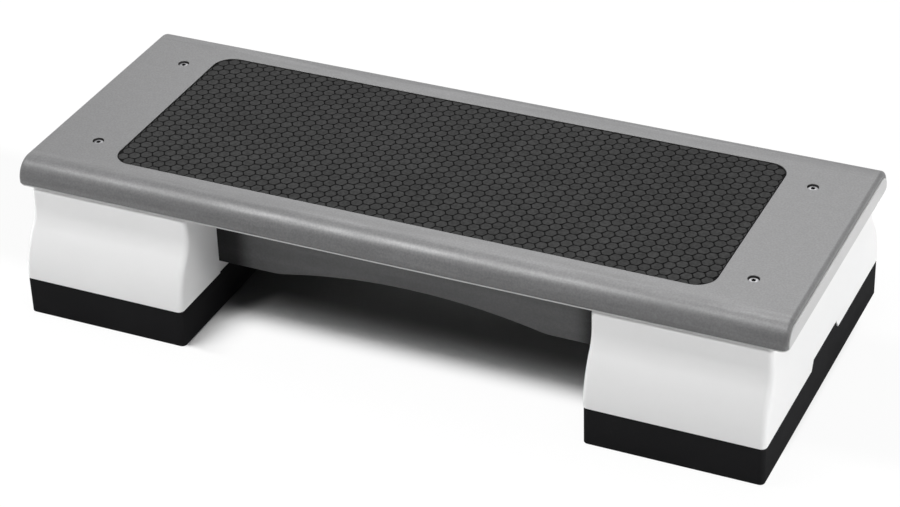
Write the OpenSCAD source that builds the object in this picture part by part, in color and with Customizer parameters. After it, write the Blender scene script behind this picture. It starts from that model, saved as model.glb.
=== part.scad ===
// Aerobic step platform: a nosed board with a rubber tread, on two flared legs
// that each stand on a riser which pulls off downwards to lower the step.
// Millimetres. +Z is up, +X runs along the length, -Y faces the user.
// The origin is on the floor, under the middle of the board.

/* [Overall] */
// Height of the stepping surface with the risers on
step_h = 200; // [185:1:230]
// Height that each riser adds, with its rubber feet
riser_h = 52; // [45:1:60]
// Length of the board
deck_l = 980; // [940:5:1040]
// Depth of the board, front to back
deck_d = 380; // [360:5:400]

/* [Board] */
// Thickness of the board with its underside sheet
deck_t = 32; // [30:0.5:36]
// Radius of the long rounded edges
nose_r = 25; // [20:0.5:26]
// Small radius at the foot of the long edges
nose_foot_r = 2; // [1:0.5:3]
// Radius of the rolled short edges
roll_r = 5; // [4:0.5:8]
// Thickness of the strip on each short end
band_t = 1.5; // [1:0.1:2.5]
// How far the strip stays inside the board's outline, and the sheet behind its face
band_inset = 0.5; // [0.3:0.1:1]
// Thickness of the sheet glued under the board
sheet_t = 1.6; // [1:0.1:2.4]
// How far the sheet stays behind the long edges
sheet_inset = 0.8; // [0.5:0.1:2]

/* [Tread mat] */
// Distance of the rubber mat from the board's short edges
mat_end = 106; // [95:1:120]
// Distance of the rubber mat from the board's long edges
mat_side = 47; // [42:1:55]
// Corner radius of the rubber mat
mat_r = 25; // [15:1:40]
// Thickness of the rubber mat
mat_t = 4; // [3:0.5:5]
// How far the mat lies below the stepping surface
mat_sunk = 1; // [0.5:0.1:1.5]
// Clearance round the mat
mat_gap = 0.4; // [0.3:0.1:1]

/* [Leg screws] */
// Distance of the visible screws from the leg's middle, along the length
screw_out = 54; // [50:1:62]
// Distance of the hidden screws from the leg's middle, along the length
hidden_in = 56; // [44:1:66]
// Distance of both from the middle, front to back
screw_y = 107; // [95:1:120]
// Thread diameter of the screws
screw_d = 8; // [6:0.5:10]
// Length under the head
screw_l = 50; // [45:1:55]
// Head diameter
screw_head_d = 12; // [11:0.5:13]
// Head height
screw_head_h = 4.4; // [3.8:0.1:4.5]
// Width of the hexagon socket across its flats
screw_socket = 5; // [4:0.5:6]
// Depth of the hexagon socket
screw_socket_h = 3; // [2:0.1:3.5]
// Diameter of the sunk seat
seat_d = 14; // [13.5:0.5:16]
// Depth of the sunk seat
seat_h = 5; // [4.5:0.5:6]
// Radial clearance round each threaded shank
shank_gap = 0.3; // [0.2:0.05:0.5]

/* [Threaded inserts] */
// Outer diameter of the brass insert
insert_d = 11; // [10.5:0.1:12]
// Length of the insert
insert_l = 20; // [16:1:24]
// Width of each groove round the insert
insert_groove_w = 1.5; // [1:0.1:2]
// Depth of each groove round the insert
insert_groove_t = 0.6; // [0.4:0.1:0.8]
// Radial clearance of the insert in its boss
insert_gap = 0.1; // [0.05:0.05:0.2]

/* [Legs] */
// How far the leg's outer face stays inside the board's end, at its foot
leg_inset = 12.5; // [6:0.5:20]
// Width of the leg along the length, at its foot
leg_w = 219; // [212:0.5:226]
// How far the outer face leans in at the top
leg_draft = 4.5; // [2:0.5:6]
// Depth of the leg at its foot, front to back
leg_d = 431; // [420:1:440]
// Depth of the leg at its waist
leg_waist_d = 376; // [364:0.5:390]
// Height of the flare above the foot
flare_h = 88; // [80:1:98]
// Radius of the hollow bend at the waist
waist_r = 45; // [30:1:60]
// Radius of the upright corners
leg_corner_r = 7; // [5:0.5:9]
// Radius of the top edge
leg_top_r = 7; // [4:0.5:8]
// Thickness of the walls
leg_wall = 4; // [3:0.25:5]
// Thickness of the top plate
leg_plate = 5; // [4:0.5:7]
// Thickness of the ribs
rib_t = 3; // [2.5:0.25:4]
// Height of the ribs' lower edge above the foot
rib_lift = 28; // [24:1:34]
// Diameter of the screw bosses
boss_d = 22; // [20:0.5:26]
// Length of the screw bosses below the top plate
boss_l = 38; // [36:1:42]
// Thickness of each boss's closed lower end
boss_end_t = 3; // [2:0.25:4]
// Diameter of the corner posts
post_d = 28; // [24:1:32]
// Distance of the posts from the leg's middle, along the length
post_x = 85; // [80:1:86]
// Distance of the posts from the middle, front to back
post_y = 160; // [150:1:162]
// Depth of the flat pocket where the rails butt against the leg
pocket_t = 2; // [1.5:0.25:2.5]

/* [Notch and tongue] */
// Half width of the notch at the foot of the leg
notch_w = 51; // [40:1:60]
// Half width of the notch at its top
notch_top_w = 43; // [32:1:50]
// Height of the notch
notch_h = 12; // [10:0.5:14]
// Gap between the notch and the tongue that fills it
tongue_gap = 1; // [0.6:0.1:1.5]

/* [Rails] */
// Distance of the rail's front face from the middle
rail_y = 118; // [112:1:120]
// Thickness of the rail
rail_t = 20; // [18:0.5:22]
// Height of the rail at its ends
rail_h = 98; // [90:1:104]
// Length of straight edge between the arch and each leg
arch_end = 83.5; // [65:0.5:100]
// Rise of the arch
arch_rise = 19.5; // [14:0.5:24]
// Radius that eases the arch into the straight edge
arch_ease_r = 60; // [40:5:90]
// Clearance between the rail's end and the leg
rail_gap = 0.3; // [0.2:0.05:0.5]

/* [Rail bolts] */
// Distance of the outer bolts from each leg
bolt_end = 58.5; // [40:0.5:80]
// Diameter of the bolts
bolt_d = 6; // [5:0.5:7]
// Overall length of the bolts
bolt_l = 70; // [64:1:76]
// Diameter of the countersunk head
bolt_head_d = 12; // [11:0.5:13]
// Width of the hexagon socket across its flats
bolt_socket = 4; // [3:0.5:4.5]
// Depth of the hexagon socket
bolt_socket_h = 2.5; // [1.5:0.1:2.9]
// Diameter of the barrel nuts
nut_d = 10; // [9.5:0.5:11]
// Length of the barrel nuts
nut_l = 16; // [14:0.5:17]
// Depth of the nut's axis below the top of the rail
nut_drop = 30; // [27:1:34]
// Radial clearance of the nut in its hole
nut_gap = 0.2; // [0.1:0.05:0.3]

/* [Leg pads] */
// Diameter of the rubber pads under the legs
pad_d = 24; // [20:0.5:26]
// How far the pads stand out below the leg
pad_out = 2; // [1.5:0.1:2.2]
// Diameter of the pad's stem
stem_d = 8; // [6:0.5:10]
// Length of the pad's stem
stem_l = 10; // [8:0.5:14]
// Clearance of the stem in its hole, all round
stem_gap = 0.1; // [0.05:0.05:0.2]

/* [Risers] */
// How far the riser stays inside the leg's outline
riser_reveal = 1; // [0.5:0.1:2]
// Thickness of the riser's walls
riser_wall = 4; // [3:0.25:5]
// Thickness of its top flange
flange_t = 5; // [4:0.25:6]
// Width of its top flange
flange_w = 26; // [22:1:30]
// Radius of its upright corners
riser_corner_r = 6; // [4:0.5:8]
// Height of the locating tabs above the flange
tab_h = 11; // [8:0.5:12]
// Thickness of the locating tabs
tab_t = 3; // [2.5:0.25:3.5]
// Clearance between the tabs and the leg's walls
tab_gap = 0.6; // [0.4:0.1:1]
// Length of the front and back tabs
tab_front_l = 110; // [90:2:120]
// Length of the end tabs
tab_end_l = 250; // [200:5:260]
// Diameter of the riser's corner posts
riser_post_d = 36; // [32:1:38]
// Distance of the cross ribs from the middle
riser_rib_y = 70; // [60:1:80]
// Clearance round and under each leg pad in its socket
socket_gap = 0.5; // [0.4:0.1:1]

/* [Riser feet] */
// Diameter of the rubber feet
foot_d = 30; // [26:0.5:32]
// How far the feet stand out below the riser
foot_out = 2; // [1.5:0.1:3]
// Width of the bevel round each foot
foot_bevel = 0.6; // [0.4:0.1:1]

/* [Hidden] */

$fn = 64;
eps = 0.01;
over = 1;

silver = "#a3a4a6";
white_abs = "#e6e6e4";
black_abs = "#26262a";
dark_grey = "#4a4a4d";
rubber = "#2b2b2d";
zinc = "#8a8d90";
brass = "#b5954c";
light_grey = "#d0d0ce";

mat_l = deck_l - 2*mat_end;
mat_d = deck_d - 2*mat_side;
deck_z = step_h - deck_t;
board_z = deck_z + sheet_t;
board_half = deck_l/2 - band_t;
recess_z = step_h - mat_t - mat_sunk;
shank_r = screw_d/2 + shank_gap;
bolt_r = bolt_d/2 + shank_gap;
bolt_head_h = (bolt_head_d - bolt_d)/2;

leg_z = riser_h;
leg_top = deck_z;
leg_out_x = deck_l/2 - leg_inset;
leg_in_x = leg_out_x - leg_w;
leg_mid_x = (leg_in_x + leg_out_x)/2;
screw_x = leg_mid_x + screw_out;
hidden_x = leg_mid_x - hidden_in;
cavity_top = leg_top - leg_plate;
cavity_corner_r = leg_corner_r - leg_wall/2;
inner_wall = leg_wall + pocket_t;
flare_drop = (leg_d - leg_waist_d)/2;
flare_a = 2*atan(flare_drop/flare_h);
belly_r = flare_h/sin(flare_a) - waist_r;
insert_z = leg_top - insert_l;

rail_mid_y = rail_y - rail_t/2;
rail_half = leg_in_x + pocket_t - rail_gap;
rail_z = deck_z - rail_h;
arch_w = 2*(leg_in_x - arch_end);
nut_z = deck_z - nut_drop;

post_in_x = leg_mid_x - post_x;
post_out_x = leg_mid_x + post_x;
post_spots = [for (x = [post_in_x, post_out_x], y = [-post_y, post_y]) [x, y]];
boss_spots = [for (x = [hidden_x, screw_x], y = [-screw_y, screw_y]) [x, y]];
bolt_spots = [bolt_end - leg_in_x, 0, leg_in_x - bolt_end];

riser_z = foot_out;
riser_in_x = leg_in_x + riser_reveal;
riser_out_x = leg_out_x - riser_reveal;
riser_d = leg_d - 2*riser_reveal;

// Copies a right-hand piece to the left-hand side
module left() mirror([1, 0, 0]) children();

// A rectangle with rounded corners, made of squares and circles, from p to q
module rounded(p, q, r) {
    translate([p[0] + r, p[1]]) square([q[0] - p[0] - 2*r, q[1] - p[1]]);
    translate([p[0], p[1] + r]) square([q[0] - p[0], q[1] - p[1] - 2*r]);
    for (x = [p[0] + r, q[0] - r], y = [p[1] + r, q[1] - r])
        translate([x, y]) circle(r);
}

// A flat outline in Y and Z drawn out along X
module along_x(x, l) translate([x, 0, 0]) rotate([90, 0, 90]) linear_extrude(l) children();

// A flat outline in X and Z drawn out along Y, from y towards the back
module along_y(y, l) translate([0, y + l, 0]) rotate([90, 0, 0]) linear_extrude(l) children();

// The board's outline across its length, drawn in by g on every side
module nose_section(g) {
    half = deck_d/2 - g;
    low = board_z + g;
    nose_z = step_h - nose_r;
    foot = nose_foot_r;
    translate([-half, low + foot]) square([2*half, nose_z - low - foot]);
    translate([-half + foot, low]) square([2*(half - foot), foot + eps]);
    translate([nose_r - deck_d/2, nose_z - eps]) square([deck_d - 2*nose_r, nose_r - g + eps]);
    for (s = [-1, 1]) {
        translate([s*(deck_d/2 - nose_r), nose_z]) circle(nose_r - g, $fn = 128);
        translate([s*(half - foot), low + foot]) circle(foot);
    }
}

// The board's outline along its length, with rolled upper corners
module roll_section() {
    translate([-board_half, board_z]) square([2*board_half, deck_t - sheet_t - roll_r]);
    translate([roll_r - board_half, board_z])
        square([2*(board_half - roll_r), deck_t - sheet_t]);
    for (s = [-1, 1])
        translate([s*(board_half - roll_r), step_h - roll_r]) circle(roll_r);
}

// Through holes for the leg screws and the rail bolts
module deck_holes() {
    for (s = [-1, 1], p = boss_spots)
        translate([s*p[0], p[1], deck_z - over]) cylinder(r = shank_r, h = deck_t + 2*over);
    for (s = [-1, 1], x = bolt_spots)
        translate([x, s*rail_mid_y, deck_z - over]) cylinder(r = bolt_r, h = deck_t + 2*over);
}

module deck_board() color(silver) difference() {
    intersection() {
        along_x(-board_half, 2*board_half) nose_section(0);
        along_y(-deck_d/2 - over, deck_d + 2*over) roll_section();
    }
    translate([0, 0, recess_z]) linear_extrude(mat_t + mat_sunk + over)
        rounded([-mat_l/2 - mat_gap, -mat_d/2 - mat_gap],
                [mat_l/2 + mat_gap, mat_d/2 + mat_gap], mat_r + mat_gap);
    for (s = [-1, 1], y = [-screw_y, screw_y]) {
        translate([s*screw_x, y, step_h - seat_h]) cylinder(d = seat_d, h = seat_h + over);
        translate([s*hidden_x, y, recess_z - seat_h]) cylinder(d = seat_d, h = seat_h + over);
    }
    for (s = [-1, 1], x = bolt_spots)
        translate([x, s*rail_mid_y, recess_z - bolt_head_h])
            cylinder(r1 = bolt_r, r2 = bolt_r + bolt_head_h, h = bolt_head_h + eps);
    deck_holes();
}

module underside_sheet() color(light_grey) difference() {
    translate([band_inset - deck_l/2, sheet_inset - deck_d/2, deck_z])
        cube([deck_l - 2*band_inset, deck_d - 2*sheet_inset, sheet_t]);
    deck_holes();
}

// The strip glued on the right-hand end, below the rolled edge and above the sheet
module end_band() color(light_grey) along_x(board_half, band_t) intersection() {
    nose_section(band_inset);
    translate([-deck_d/2, board_z]) square([deck_d, deck_t - sheet_t - roll_r]);
}

module tread_mat() color(rubber)
    translate([0, 0, recess_z]) linear_extrude(mat_t)
        rounded([-mat_l/2, -mat_d/2], [mat_l/2, mat_d/2], mat_r);

// A domed screw with a hexagon socket, head seated at height z
module leg_screw(z) color(zinc) translate([0, 0, z]) difference() {
    dome_r = (pow(screw_head_d/2, 2) + pow(screw_head_h, 2))/(2*screw_head_h);
    rotate_extrude() {
        translate([0, -screw_l]) square([screw_d/2, screw_l + eps]);
        intersection() {
            square([screw_head_d/2, screw_head_h]);
            translate([0, screw_head_h - dome_r]) circle(dome_r);
        }
    }
    translate([0, 0, screw_head_h - screw_socket_h])
        cylinder(d = screw_socket/cos(30), h = screw_head_h, $fn = 6);
}

module deck_screws() for (y = [-screw_y, screw_y])
    translate([screw_x, y, 0]) leg_screw(step_h - seat_h);

module hidden_screws() for (y = [-screw_y, screw_y])
    translate([hidden_x, y, 0]) leg_screw(recess_z - seat_h);

// Brass inserts with two grooves that the boss grips
module leg_inserts() color(brass) for (p = boss_spots)
    translate([p[0], p[1], insert_z]) rotate_extrude() difference() {
        translate([shank_r, 0]) square([insert_d/2 - shank_r, insert_l]);
        for (i = [1, 2])
            translate([insert_d/2 - insert_groove_t, i*insert_l/3 - insert_groove_w/2])
                square([insert_groove_t + over, insert_groove_w]);
    }

// Half depth of the leg at height u above its foot, g inside the outer face:
// a long belly that bends back into an upright waist
function flare(u, g) = let (a = belly_r*sin(flare_a))
    (u <= 0 ? leg_d/2
    : u <= a ? leg_d/2 - belly_r + sqrt(pow(belly_r, 2) - u*u)
    : u < flare_h ? leg_waist_d/2 + waist_r - sqrt(pow(waist_r, 2) - pow(flare_h - u, 2))
    : leg_waist_d/2) - g;

// Heights above the foot where the flare gets a ring
belly_steps = 8;
waist_steps = 5;
flare_us = concat(
    [for (i = [0:belly_steps]) belly_r*sin(flare_a*i/belly_steps)],
    [for (i = [1:waist_steps]) flare_h - waist_r*sin(flare_a*(1 - i/waist_steps))]);

// One level of the leg: four rounded corners, n points each
function leg_ring(x0, x1, hy, r, n, z) = [
    for (c = [0:3], i = [0:n - 1])
        let (a = 90*(c + i/(n - 1)),
             cx = (c == 0 || c == 3) ? x1 - r : x0 + r,
             cy = (c < 2) ? hy - r : r - hy)
        [cx + r*cos(a), cy + r*sin(a), z]
];

// Joins rings of m points into one closed solid
module loft(rings) {
    m = len(rings[0]);
    k = len(rings);
    sides = [for (j = [0:k - 2], i = [0:m - 1])
        let (a = j*m + i, b = j*m + (i + 1)%m)
        each [[a, a + m, b], [b, a + m, b + m]]];
    lids = [for (i = [1:m - 2]) each [[0, i, i + 1], [(k - 1)*m, (k - 1)*m + i + 1, (k - 1)*m + i]]];
    polyhedron([for (r = rings) each r], concat(sides, lids));
}

leg_span = leg_top - leg_z;
function outer_x(u) = leg_out_x - leg_draft*max(u, 0)/leg_span;

// The leg's outer form, with a rounded top edge
edge_steps = 4;
module leg_outer() {
    edge_us = [for (i = [0:edge_steps]) leg_span - leg_top_r*(1 - sin(90*i/edge_steps))];
    function edge_in(u) = u <= leg_span - leg_top_r ? 0
        : leg_top_r - sqrt(max(0, pow(leg_top_r, 2) - pow(u - leg_span + leg_top_r, 2)));
    loft([for (u = concat(flare_us, edge_us)) let (g = edge_in(u))
        leg_ring(leg_in_x + g, outer_x(u) - g, flare(u, g), leg_corner_r, 5, leg_z + u)]);
}

// The hollow of the leg, open at the foot
module leg_cavity() {
    us = concat([-over], flare_us, [cavity_top - leg_z]);
    loft([for (u = us)
        leg_ring(leg_in_x + inner_wall, outer_x(u) - leg_wall, flare(u, leg_wall),
                 cavity_corner_r, 3, leg_z + u)]);
}

// Ribs, bosses and posts that stand in the hollow
module leg_inside() {
    rib_z = leg_z + rib_lift;
    for (x = [hidden_x, screw_x])
        translate([x - rib_t/2, -leg_d/2, rib_z]) cube([rib_t, leg_d, leg_span]);
    for (p = boss_spots)
        translate([p[0], p[1], cavity_top - boss_l]) cylinder(d = boss_d, h = boss_l + over);
    for (p = post_spots)
        translate([p[0], p[1], leg_z]) cylinder(d = post_d, h = leg_span);
    for (y = [-post_y, post_y]) {
        translate([leg_in_x, y - rib_t/2, rib_z])
            cube([post_in_x - leg_in_x, rib_t, leg_span]);
        translate([post_out_x, y - rib_t/2, rib_z])
            cube([leg_out_x - post_out_x, rib_t, leg_span]);
    }
}

// Outline of the notch or, drawn in by g, of the tongue that fills it
module notch_outline(g, low) polygon([
    [-notch_w + g, low], [notch_w - g, low],
    [notch_w - g, leg_z], [notch_top_w - g, leg_z + notch_h - g],
    [g - notch_top_w, leg_z + notch_h - g], [g - notch_w, leg_z]
]);

module leg() color(white_abs) difference() {
    leg_outer();
    difference() {
        leg_cavity();
        leg_inside();
    }
    translate([leg_in_x - over, -rail_y - rail_gap, leg_z - over])
        cube([pocket_t + over, 2*(rail_y + rail_gap), leg_span + 2*over]);
    along_x(leg_out_x - 2*leg_wall, 2*leg_wall + over) notch_outline(0, leg_z - over);
    for (p = boss_spots) {
        translate([p[0], p[1], insert_z])
            cylinder(d = insert_d + 2*insert_gap, h = insert_l + over);
        translate([p[0], p[1], cavity_top - boss_l + boss_end_t])
            cylinder(r = shank_r, h = boss_l);
    }
    for (p = post_spots)
        translate([p[0], p[1], leg_z - over])
            cylinder(d = stem_d + 2*stem_gap, h = stem_l + 2*stem_gap + over);
}

module leg_pads() color(rubber) for (p = post_spots)
    translate([p[0], p[1], leg_z]) rotate_extrude() {
        translate([0, -pad_out]) square([pad_d/2, pad_out]);
        square([stem_d/2, stem_l]);
    }

// The rail seen from the front, with an arched lower edge
module rail_section() difference() {
    arch_r = (pow(arch_w/2, 2) + pow(arch_rise, 2))/(2*arch_rise);
    arch_z = rail_z + arch_rise - arch_r;
    ease_z = rail_z + arch_ease_r;
    ease_x = sqrt(pow(arch_r + arch_ease_r, 2) - pow(ease_z - arch_z, 2));
    t = arch_r/(arch_r + arch_ease_r);
    translate([-rail_half, rail_z]) square([2*rail_half, rail_h]);
    translate([0, arch_z]) circle(arch_r, $fn = 720);
    for (s = [-1, 1]) difference() {
        polygon([[s*ease_x*t, arch_z + (ease_z - arch_z)*t], [s*arch_w/2, rail_z - over],
                 [s*ease_x, rail_z - over], [s*ease_x, rail_z]]);
        translate([s*ease_x, ease_z]) circle(arch_ease_r, $fn = 256);
    }
}

module rail() color(dark_grey) difference() {
    along_y(-rail_y, rail_t) rail_section();
    for (x = bolt_spots) {
        translate([x, -rail_mid_y, recess_z - bolt_l - over])
            cylinder(r = bolt_r, h = bolt_l);
        translate([x, rail_t - rail_y - nut_l - over, nut_z]) rotate([-90, 0, 0])
            cylinder(r = nut_d/2 + nut_gap, h = nut_l + 2*over);
    }
}

// Countersunk bolts, flush with the floor of the mat's recess
module rail_bolts() color(zinc) for (x = bolt_spots)
    translate([x, -rail_mid_y, recess_z]) difference() {
        rotate_extrude() polygon([
            [0, -bolt_l], [bolt_d/2, -bolt_l], [bolt_d/2, -bolt_head_h],
            [bolt_head_d/2, 0], [0, 0]
        ]);
        translate([0, 0, -bolt_socket_h])
            cylinder(d = bolt_socket/cos(30), h = bolt_head_h, $fn = 6);
    }

// Barrel nuts that lie across the rail, with a cross hole for the bolt
module rail_nuts() color(zinc) for (x = bolt_spots) difference() {
    translate([x, rail_t - rail_y - nut_l, nut_z]) rotate([-90, 0, 0])
        cylinder(d = nut_d, h = nut_l);
    translate([x, -rail_mid_y, nut_z - nut_d]) cylinder(r = bolt_r, h = 2*nut_d);
}

// The riser's outline from above, drawn in by g
module riser_plan(g) rounded(
    [riser_in_x + g, -riser_d/2 + g], [riser_out_x - g, riser_d/2 - g],
    max(riser_corner_r - g, 1));

// Posts under the leg pads, with webs to the nearest walls
module riser_posts() for (p = post_spots) {
    wall_x = p[0] < leg_mid_x ? riser_in_x : riser_out_x;
    wall_y = sign(p[1])*riser_d/2;
    translate([p[0], p[1], riser_z]) cylinder(d = riser_post_d, h = leg_z - riser_z);
    translate([min(p[0], wall_x) + rib_t, p[1] - rib_t/2, riser_z])
        cube([abs(wall_x - p[0]) - rib_t, rib_t, leg_z - riser_z]);
    translate([p[0] - rib_t/2, min(p[1], wall_y) + rib_t, riser_z])
        cube([rib_t, abs(wall_y - p[1]) - rib_t, leg_z - riser_z]);
}

// Tabs that rise into the leg, just inside its walls
module riser_tabs() {
    in_x = leg_in_x + inner_wall + tab_gap;
    out_x = outer_x(tab_h) - leg_wall - tab_gap - tab_t;
    back_y = flare(tab_h, leg_wall) - tab_gap - tab_t;
    for (x = [in_x, out_x])
        translate([x, -tab_end_l/2, leg_z - eps]) cube([tab_t, tab_end_l, tab_h + eps]);
    for (y = [-back_y - tab_t, back_y])
        translate([leg_mid_x - tab_front_l/2, y, leg_z - eps])
            cube([tab_front_l, tab_t, tab_h + eps]);
}

module riser() color(black_abs) difference() {
    union() {
        translate([0, 0, riser_z]) linear_extrude(leg_z - riser_z) difference() {
            riser_plan(0);
            riser_plan(riser_wall);
        }
        translate([0, 0, leg_z - flange_t]) linear_extrude(flange_t) difference() {
            riser_plan(riser_wall - eps);
            riser_plan(flange_w);
        }
        for (s = [-1, 1])
            translate([riser_in_x + rib_t, s*riser_rib_y - rib_t/2, riser_z])
                cube([riser_out_x - riser_in_x - 2*rib_t, rib_t, leg_z - riser_z - flange_t]);
        riser_posts();
        riser_tabs();
        along_x(riser_out_x - leg_wall, leg_wall) notch_outline(tongue_gap, leg_z - flange_t);
    }
    for (p = post_spots) {
        translate([p[0], p[1], leg_z - pad_out - socket_gap])
            cylinder(d = pad_d + 2*socket_gap, h = pad_out + socket_gap + over);
        translate([p[0], p[1], riser_z - over])
            cylinder(d = stem_d + 2*stem_gap, h = stem_l + stem_gap + over);
    }
}

// Rubber feet under the riser, with a bevelled tread
module riser_feet() color(rubber) for (p = post_spots)
    translate([p[0], p[1], 0]) rotate_extrude() {
        polygon([[0, 0], [foot_d/2 - foot_bevel, 0], [foot_d/2, foot_bevel],
                 [foot_d/2, foot_out], [0, foot_out]]);
        translate([0, foot_out - eps]) square([stem_d/2, stem_l + eps]);
    }

deck_board();
underside_sheet();
left() end_band();  // left_end_band
end_band();  // right_end_band
tread_mat();
left() deck_screws();  // left_deck_screws
deck_screws();  // right_deck_screws
left() hidden_screws();  // left_hidden_screws
hidden_screws();  // right_hidden_screws
left() leg_inserts();  // left_leg_inserts
leg_inserts();  // right_leg_inserts
left() leg();  // left_leg
leg();  // right_leg
left() leg_pads();  // left_leg_pads
leg_pads();  // right_leg_pads
rail();  // front_rail
mirror([0, 1, 0]) rail();  // back_rail
rail_bolts();  // front_rail_bolts
mirror([0, 1, 0]) rail_bolts();  // back_rail_bolts
rail_nuts();  // front_rail_nuts
mirror([0, 1, 0]) rail_nuts();  // back_rail_nuts
left() riser();  // left_riser
riser();  // right_riser
left() riser_feet();  // left_riser_feet
riser_feet();  // right_riser_feet
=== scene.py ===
"""Looks of an aerobic step platform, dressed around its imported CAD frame.

A foil-wrapped board with a rubber tread stands on two flared white legs, which stand on
black risers. Each sub-assembly is a class that reads its place from the frame and its own
sizes from its fields. Everything is in metres: +Z is up, +X runs along the board and -Y
faces the user.
"""
from __future__ import annotations

import logging
import math
from collections.abc import Sequence
from dataclasses import dataclass, field, replace
from enum import Enum
from functools import lru_cache

import bmesh
import bpy
from mathutils import Matrix, Vector


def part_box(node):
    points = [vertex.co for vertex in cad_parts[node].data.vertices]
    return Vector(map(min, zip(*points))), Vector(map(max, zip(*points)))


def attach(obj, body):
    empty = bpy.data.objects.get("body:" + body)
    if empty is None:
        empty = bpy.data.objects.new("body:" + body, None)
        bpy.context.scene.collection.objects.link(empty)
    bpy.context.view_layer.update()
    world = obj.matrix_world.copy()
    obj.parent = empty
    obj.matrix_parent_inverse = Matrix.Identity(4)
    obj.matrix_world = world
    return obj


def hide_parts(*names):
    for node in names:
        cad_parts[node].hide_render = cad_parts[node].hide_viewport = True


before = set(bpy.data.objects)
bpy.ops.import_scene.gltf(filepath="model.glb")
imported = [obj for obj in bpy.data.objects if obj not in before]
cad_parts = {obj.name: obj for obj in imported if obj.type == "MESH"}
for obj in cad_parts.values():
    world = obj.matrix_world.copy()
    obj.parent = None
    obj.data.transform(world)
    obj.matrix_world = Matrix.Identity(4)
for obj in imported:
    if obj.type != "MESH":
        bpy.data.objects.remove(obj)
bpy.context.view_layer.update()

MM = 0.001
PHOTO_WIDTH = 900
LOOK_AT = (0.0, 0.0, 0.1)
SMOOTH_ANGLE = math.radians(32)
WELD = 0.02 * MM  # points nearer than this are merged
OVERRUN = 1 * MM  # how far a cutting tool goes past a face
BAR_SIDES = 32
TURNED_SIDES = 40
LIP_TURNS = (0, 18, 36, 54, 70, 82)  # degrees of the points on a hole's rounded rim
# faces inside a socket, where the metal finish paints shade
SOCKET_SHADE_MARK = "inside_socket"
CELL_TONE = "cell_tone"
CELL_REACH = 0.33  # share of a pitch that a cell's middle may stand outside the outline
NOISE_RANGE = (0.3, 0.7)  # where nearly all values of a noise lie
MITRE_LIMIT = 0.3  # least cosine that a mitre is drawn out by

Point2 = tuple[float, float]
Outline = list[Point2]
Colour = tuple[float, float, float]
Piece = bpy.types.Object
Material = bpy.types.Material
Socket = bpy.types.NodeSocket
Sockets = bpy.types.bpy_prop_collection
Group = bpy.types.NodeTree

log = logging.getLogger("step_platform")


class Body(Enum):
    """The rigid bodies that pieces ride on."""

    PLATFORM = "platform"
    LEFT_RISER = "left_riser_unit"
    RIGHT_RISER = "right_riser_unit"


class Side(Enum):
    """The two ends of the platform, as the sign of X there."""

    LEFT = -1
    RIGHT = 1

    @property
    def word(self) -> str:
        """The side's name as it stands in node names."""
        return self.name.lower()


class Slot(Enum):
    """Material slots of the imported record."""

    FOIL_BOARD = "foil_board"
    WHITE_SHEET = "white_sheet"
    EDGE_STRIP = "edge_strip"
    TREAD_RUBBER = "tread_rubber"
    SCREW_STEEL = "screw_steel"
    INSERT_BRASS = "insert_brass"
    WHITE_PLASTIC = "white_plastic"
    FOOT_RUBBER = "foot_rubber"
    RAIL_BOARD = "rail_board"
    BLACK_PLASTIC = "black_plastic"


# Outlines and meshes


def arc(centre: Point2, radius: float, start: float, end: float, steps: int) -> Outline:
    """Points along an arc.

    Args:
        centre: Centre of the arc.
        radius: Radius of the arc.
        start: First angle in degrees.
        end: Last angle in degrees.
        steps: Number of chords.

    Returns:
        The steps + 1 points from start to end.
    """
    angles = [math.radians(start + (end - start) * i / steps) for i in range(steps + 1)]
    return [(centre[0] + radius * math.cos(a), centre[1] + radius * math.sin(a)) for a in angles]


def polygon(radius: float, sides: int, centre: Point2 = (0.0, 0.0)) -> Outline:
    """The corners of a regular polygon, anticlockwise from its right."""
    return arc(centre, radius, 0, 360, sides)[:-1]


def rounded_rect(low: Point2, high: Point2, radius: float, steps: int = 8) -> Outline:
    """A rectangle with round corners, anticlockwise.

    Args:
        low: Lowest corner.
        high: Highest corner.
        radius: Corner radius.
        steps: Chords in each corner.

    Returns:
        The outline's points.
    """
    corners = [(high[0] - radius, high[1] - radius, 0), (low[0] + radius, high[1] - radius, 90),
               (low[0] + radius, low[1] + radius, 180), (high[0] - radius, low[1] + radius, 270)]
    return [p for x, y, a in corners for p in arc((x, y), radius, a, a + 90, steps)]


def drawn_in(outline: Outline, inset: float) -> Outline:
    """An outline moved inwards, with mitred corners.

    Args:
        outline: Anticlockwise points.
        inset: Distance to move in, or out where it is negative.

    Returns:
        As many points as the outline has.
    """
    result: Outline = []
    count = len(outline)
    for i, point in enumerate(outline):
        before = (Vector(point) - Vector(outline[i - 1])).normalized()
        after = (Vector(outline[(i + 1) % count]) - Vector(point)).normalized()
        normal_a, normal_b = Vector((-before.y, before.x)), Vector((-after.y, after.x))
        middle = (normal_a + normal_b).normalized()
        reach = inset / max(middle.dot(normal_a), MITRE_LIMIT)
        result.append((point[0] + middle.x * reach, point[1] + middle.y * reach))
    return result


class Facing(Enum):
    """The axis that a flat outline is drawn out along."""

    X = "x"
    Y = "y"
    Z = "z"

    def place(self, point: Point2, along: float) -> Vector:
        """The outline's point in space, at a place along the axis."""
        u, v = point
        return {Facing.X: Vector((along, u, v)), Facing.Y: Vector((u, along, v)),
                Facing.Z: Vector((u, v, along))}[self]


def new_object(name: str, mesh: bpy.types.Mesh) -> Piece:
    """An object at the origin for a mesh, linked to the scene.

    Args:
        name: Name of the object.
        mesh: Its mesh.

    Returns:
        The new object.
    """
    made = bpy.data.objects.new(name, mesh)
    bpy.context.scene.collection.objects.link(made)
    return made


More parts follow.
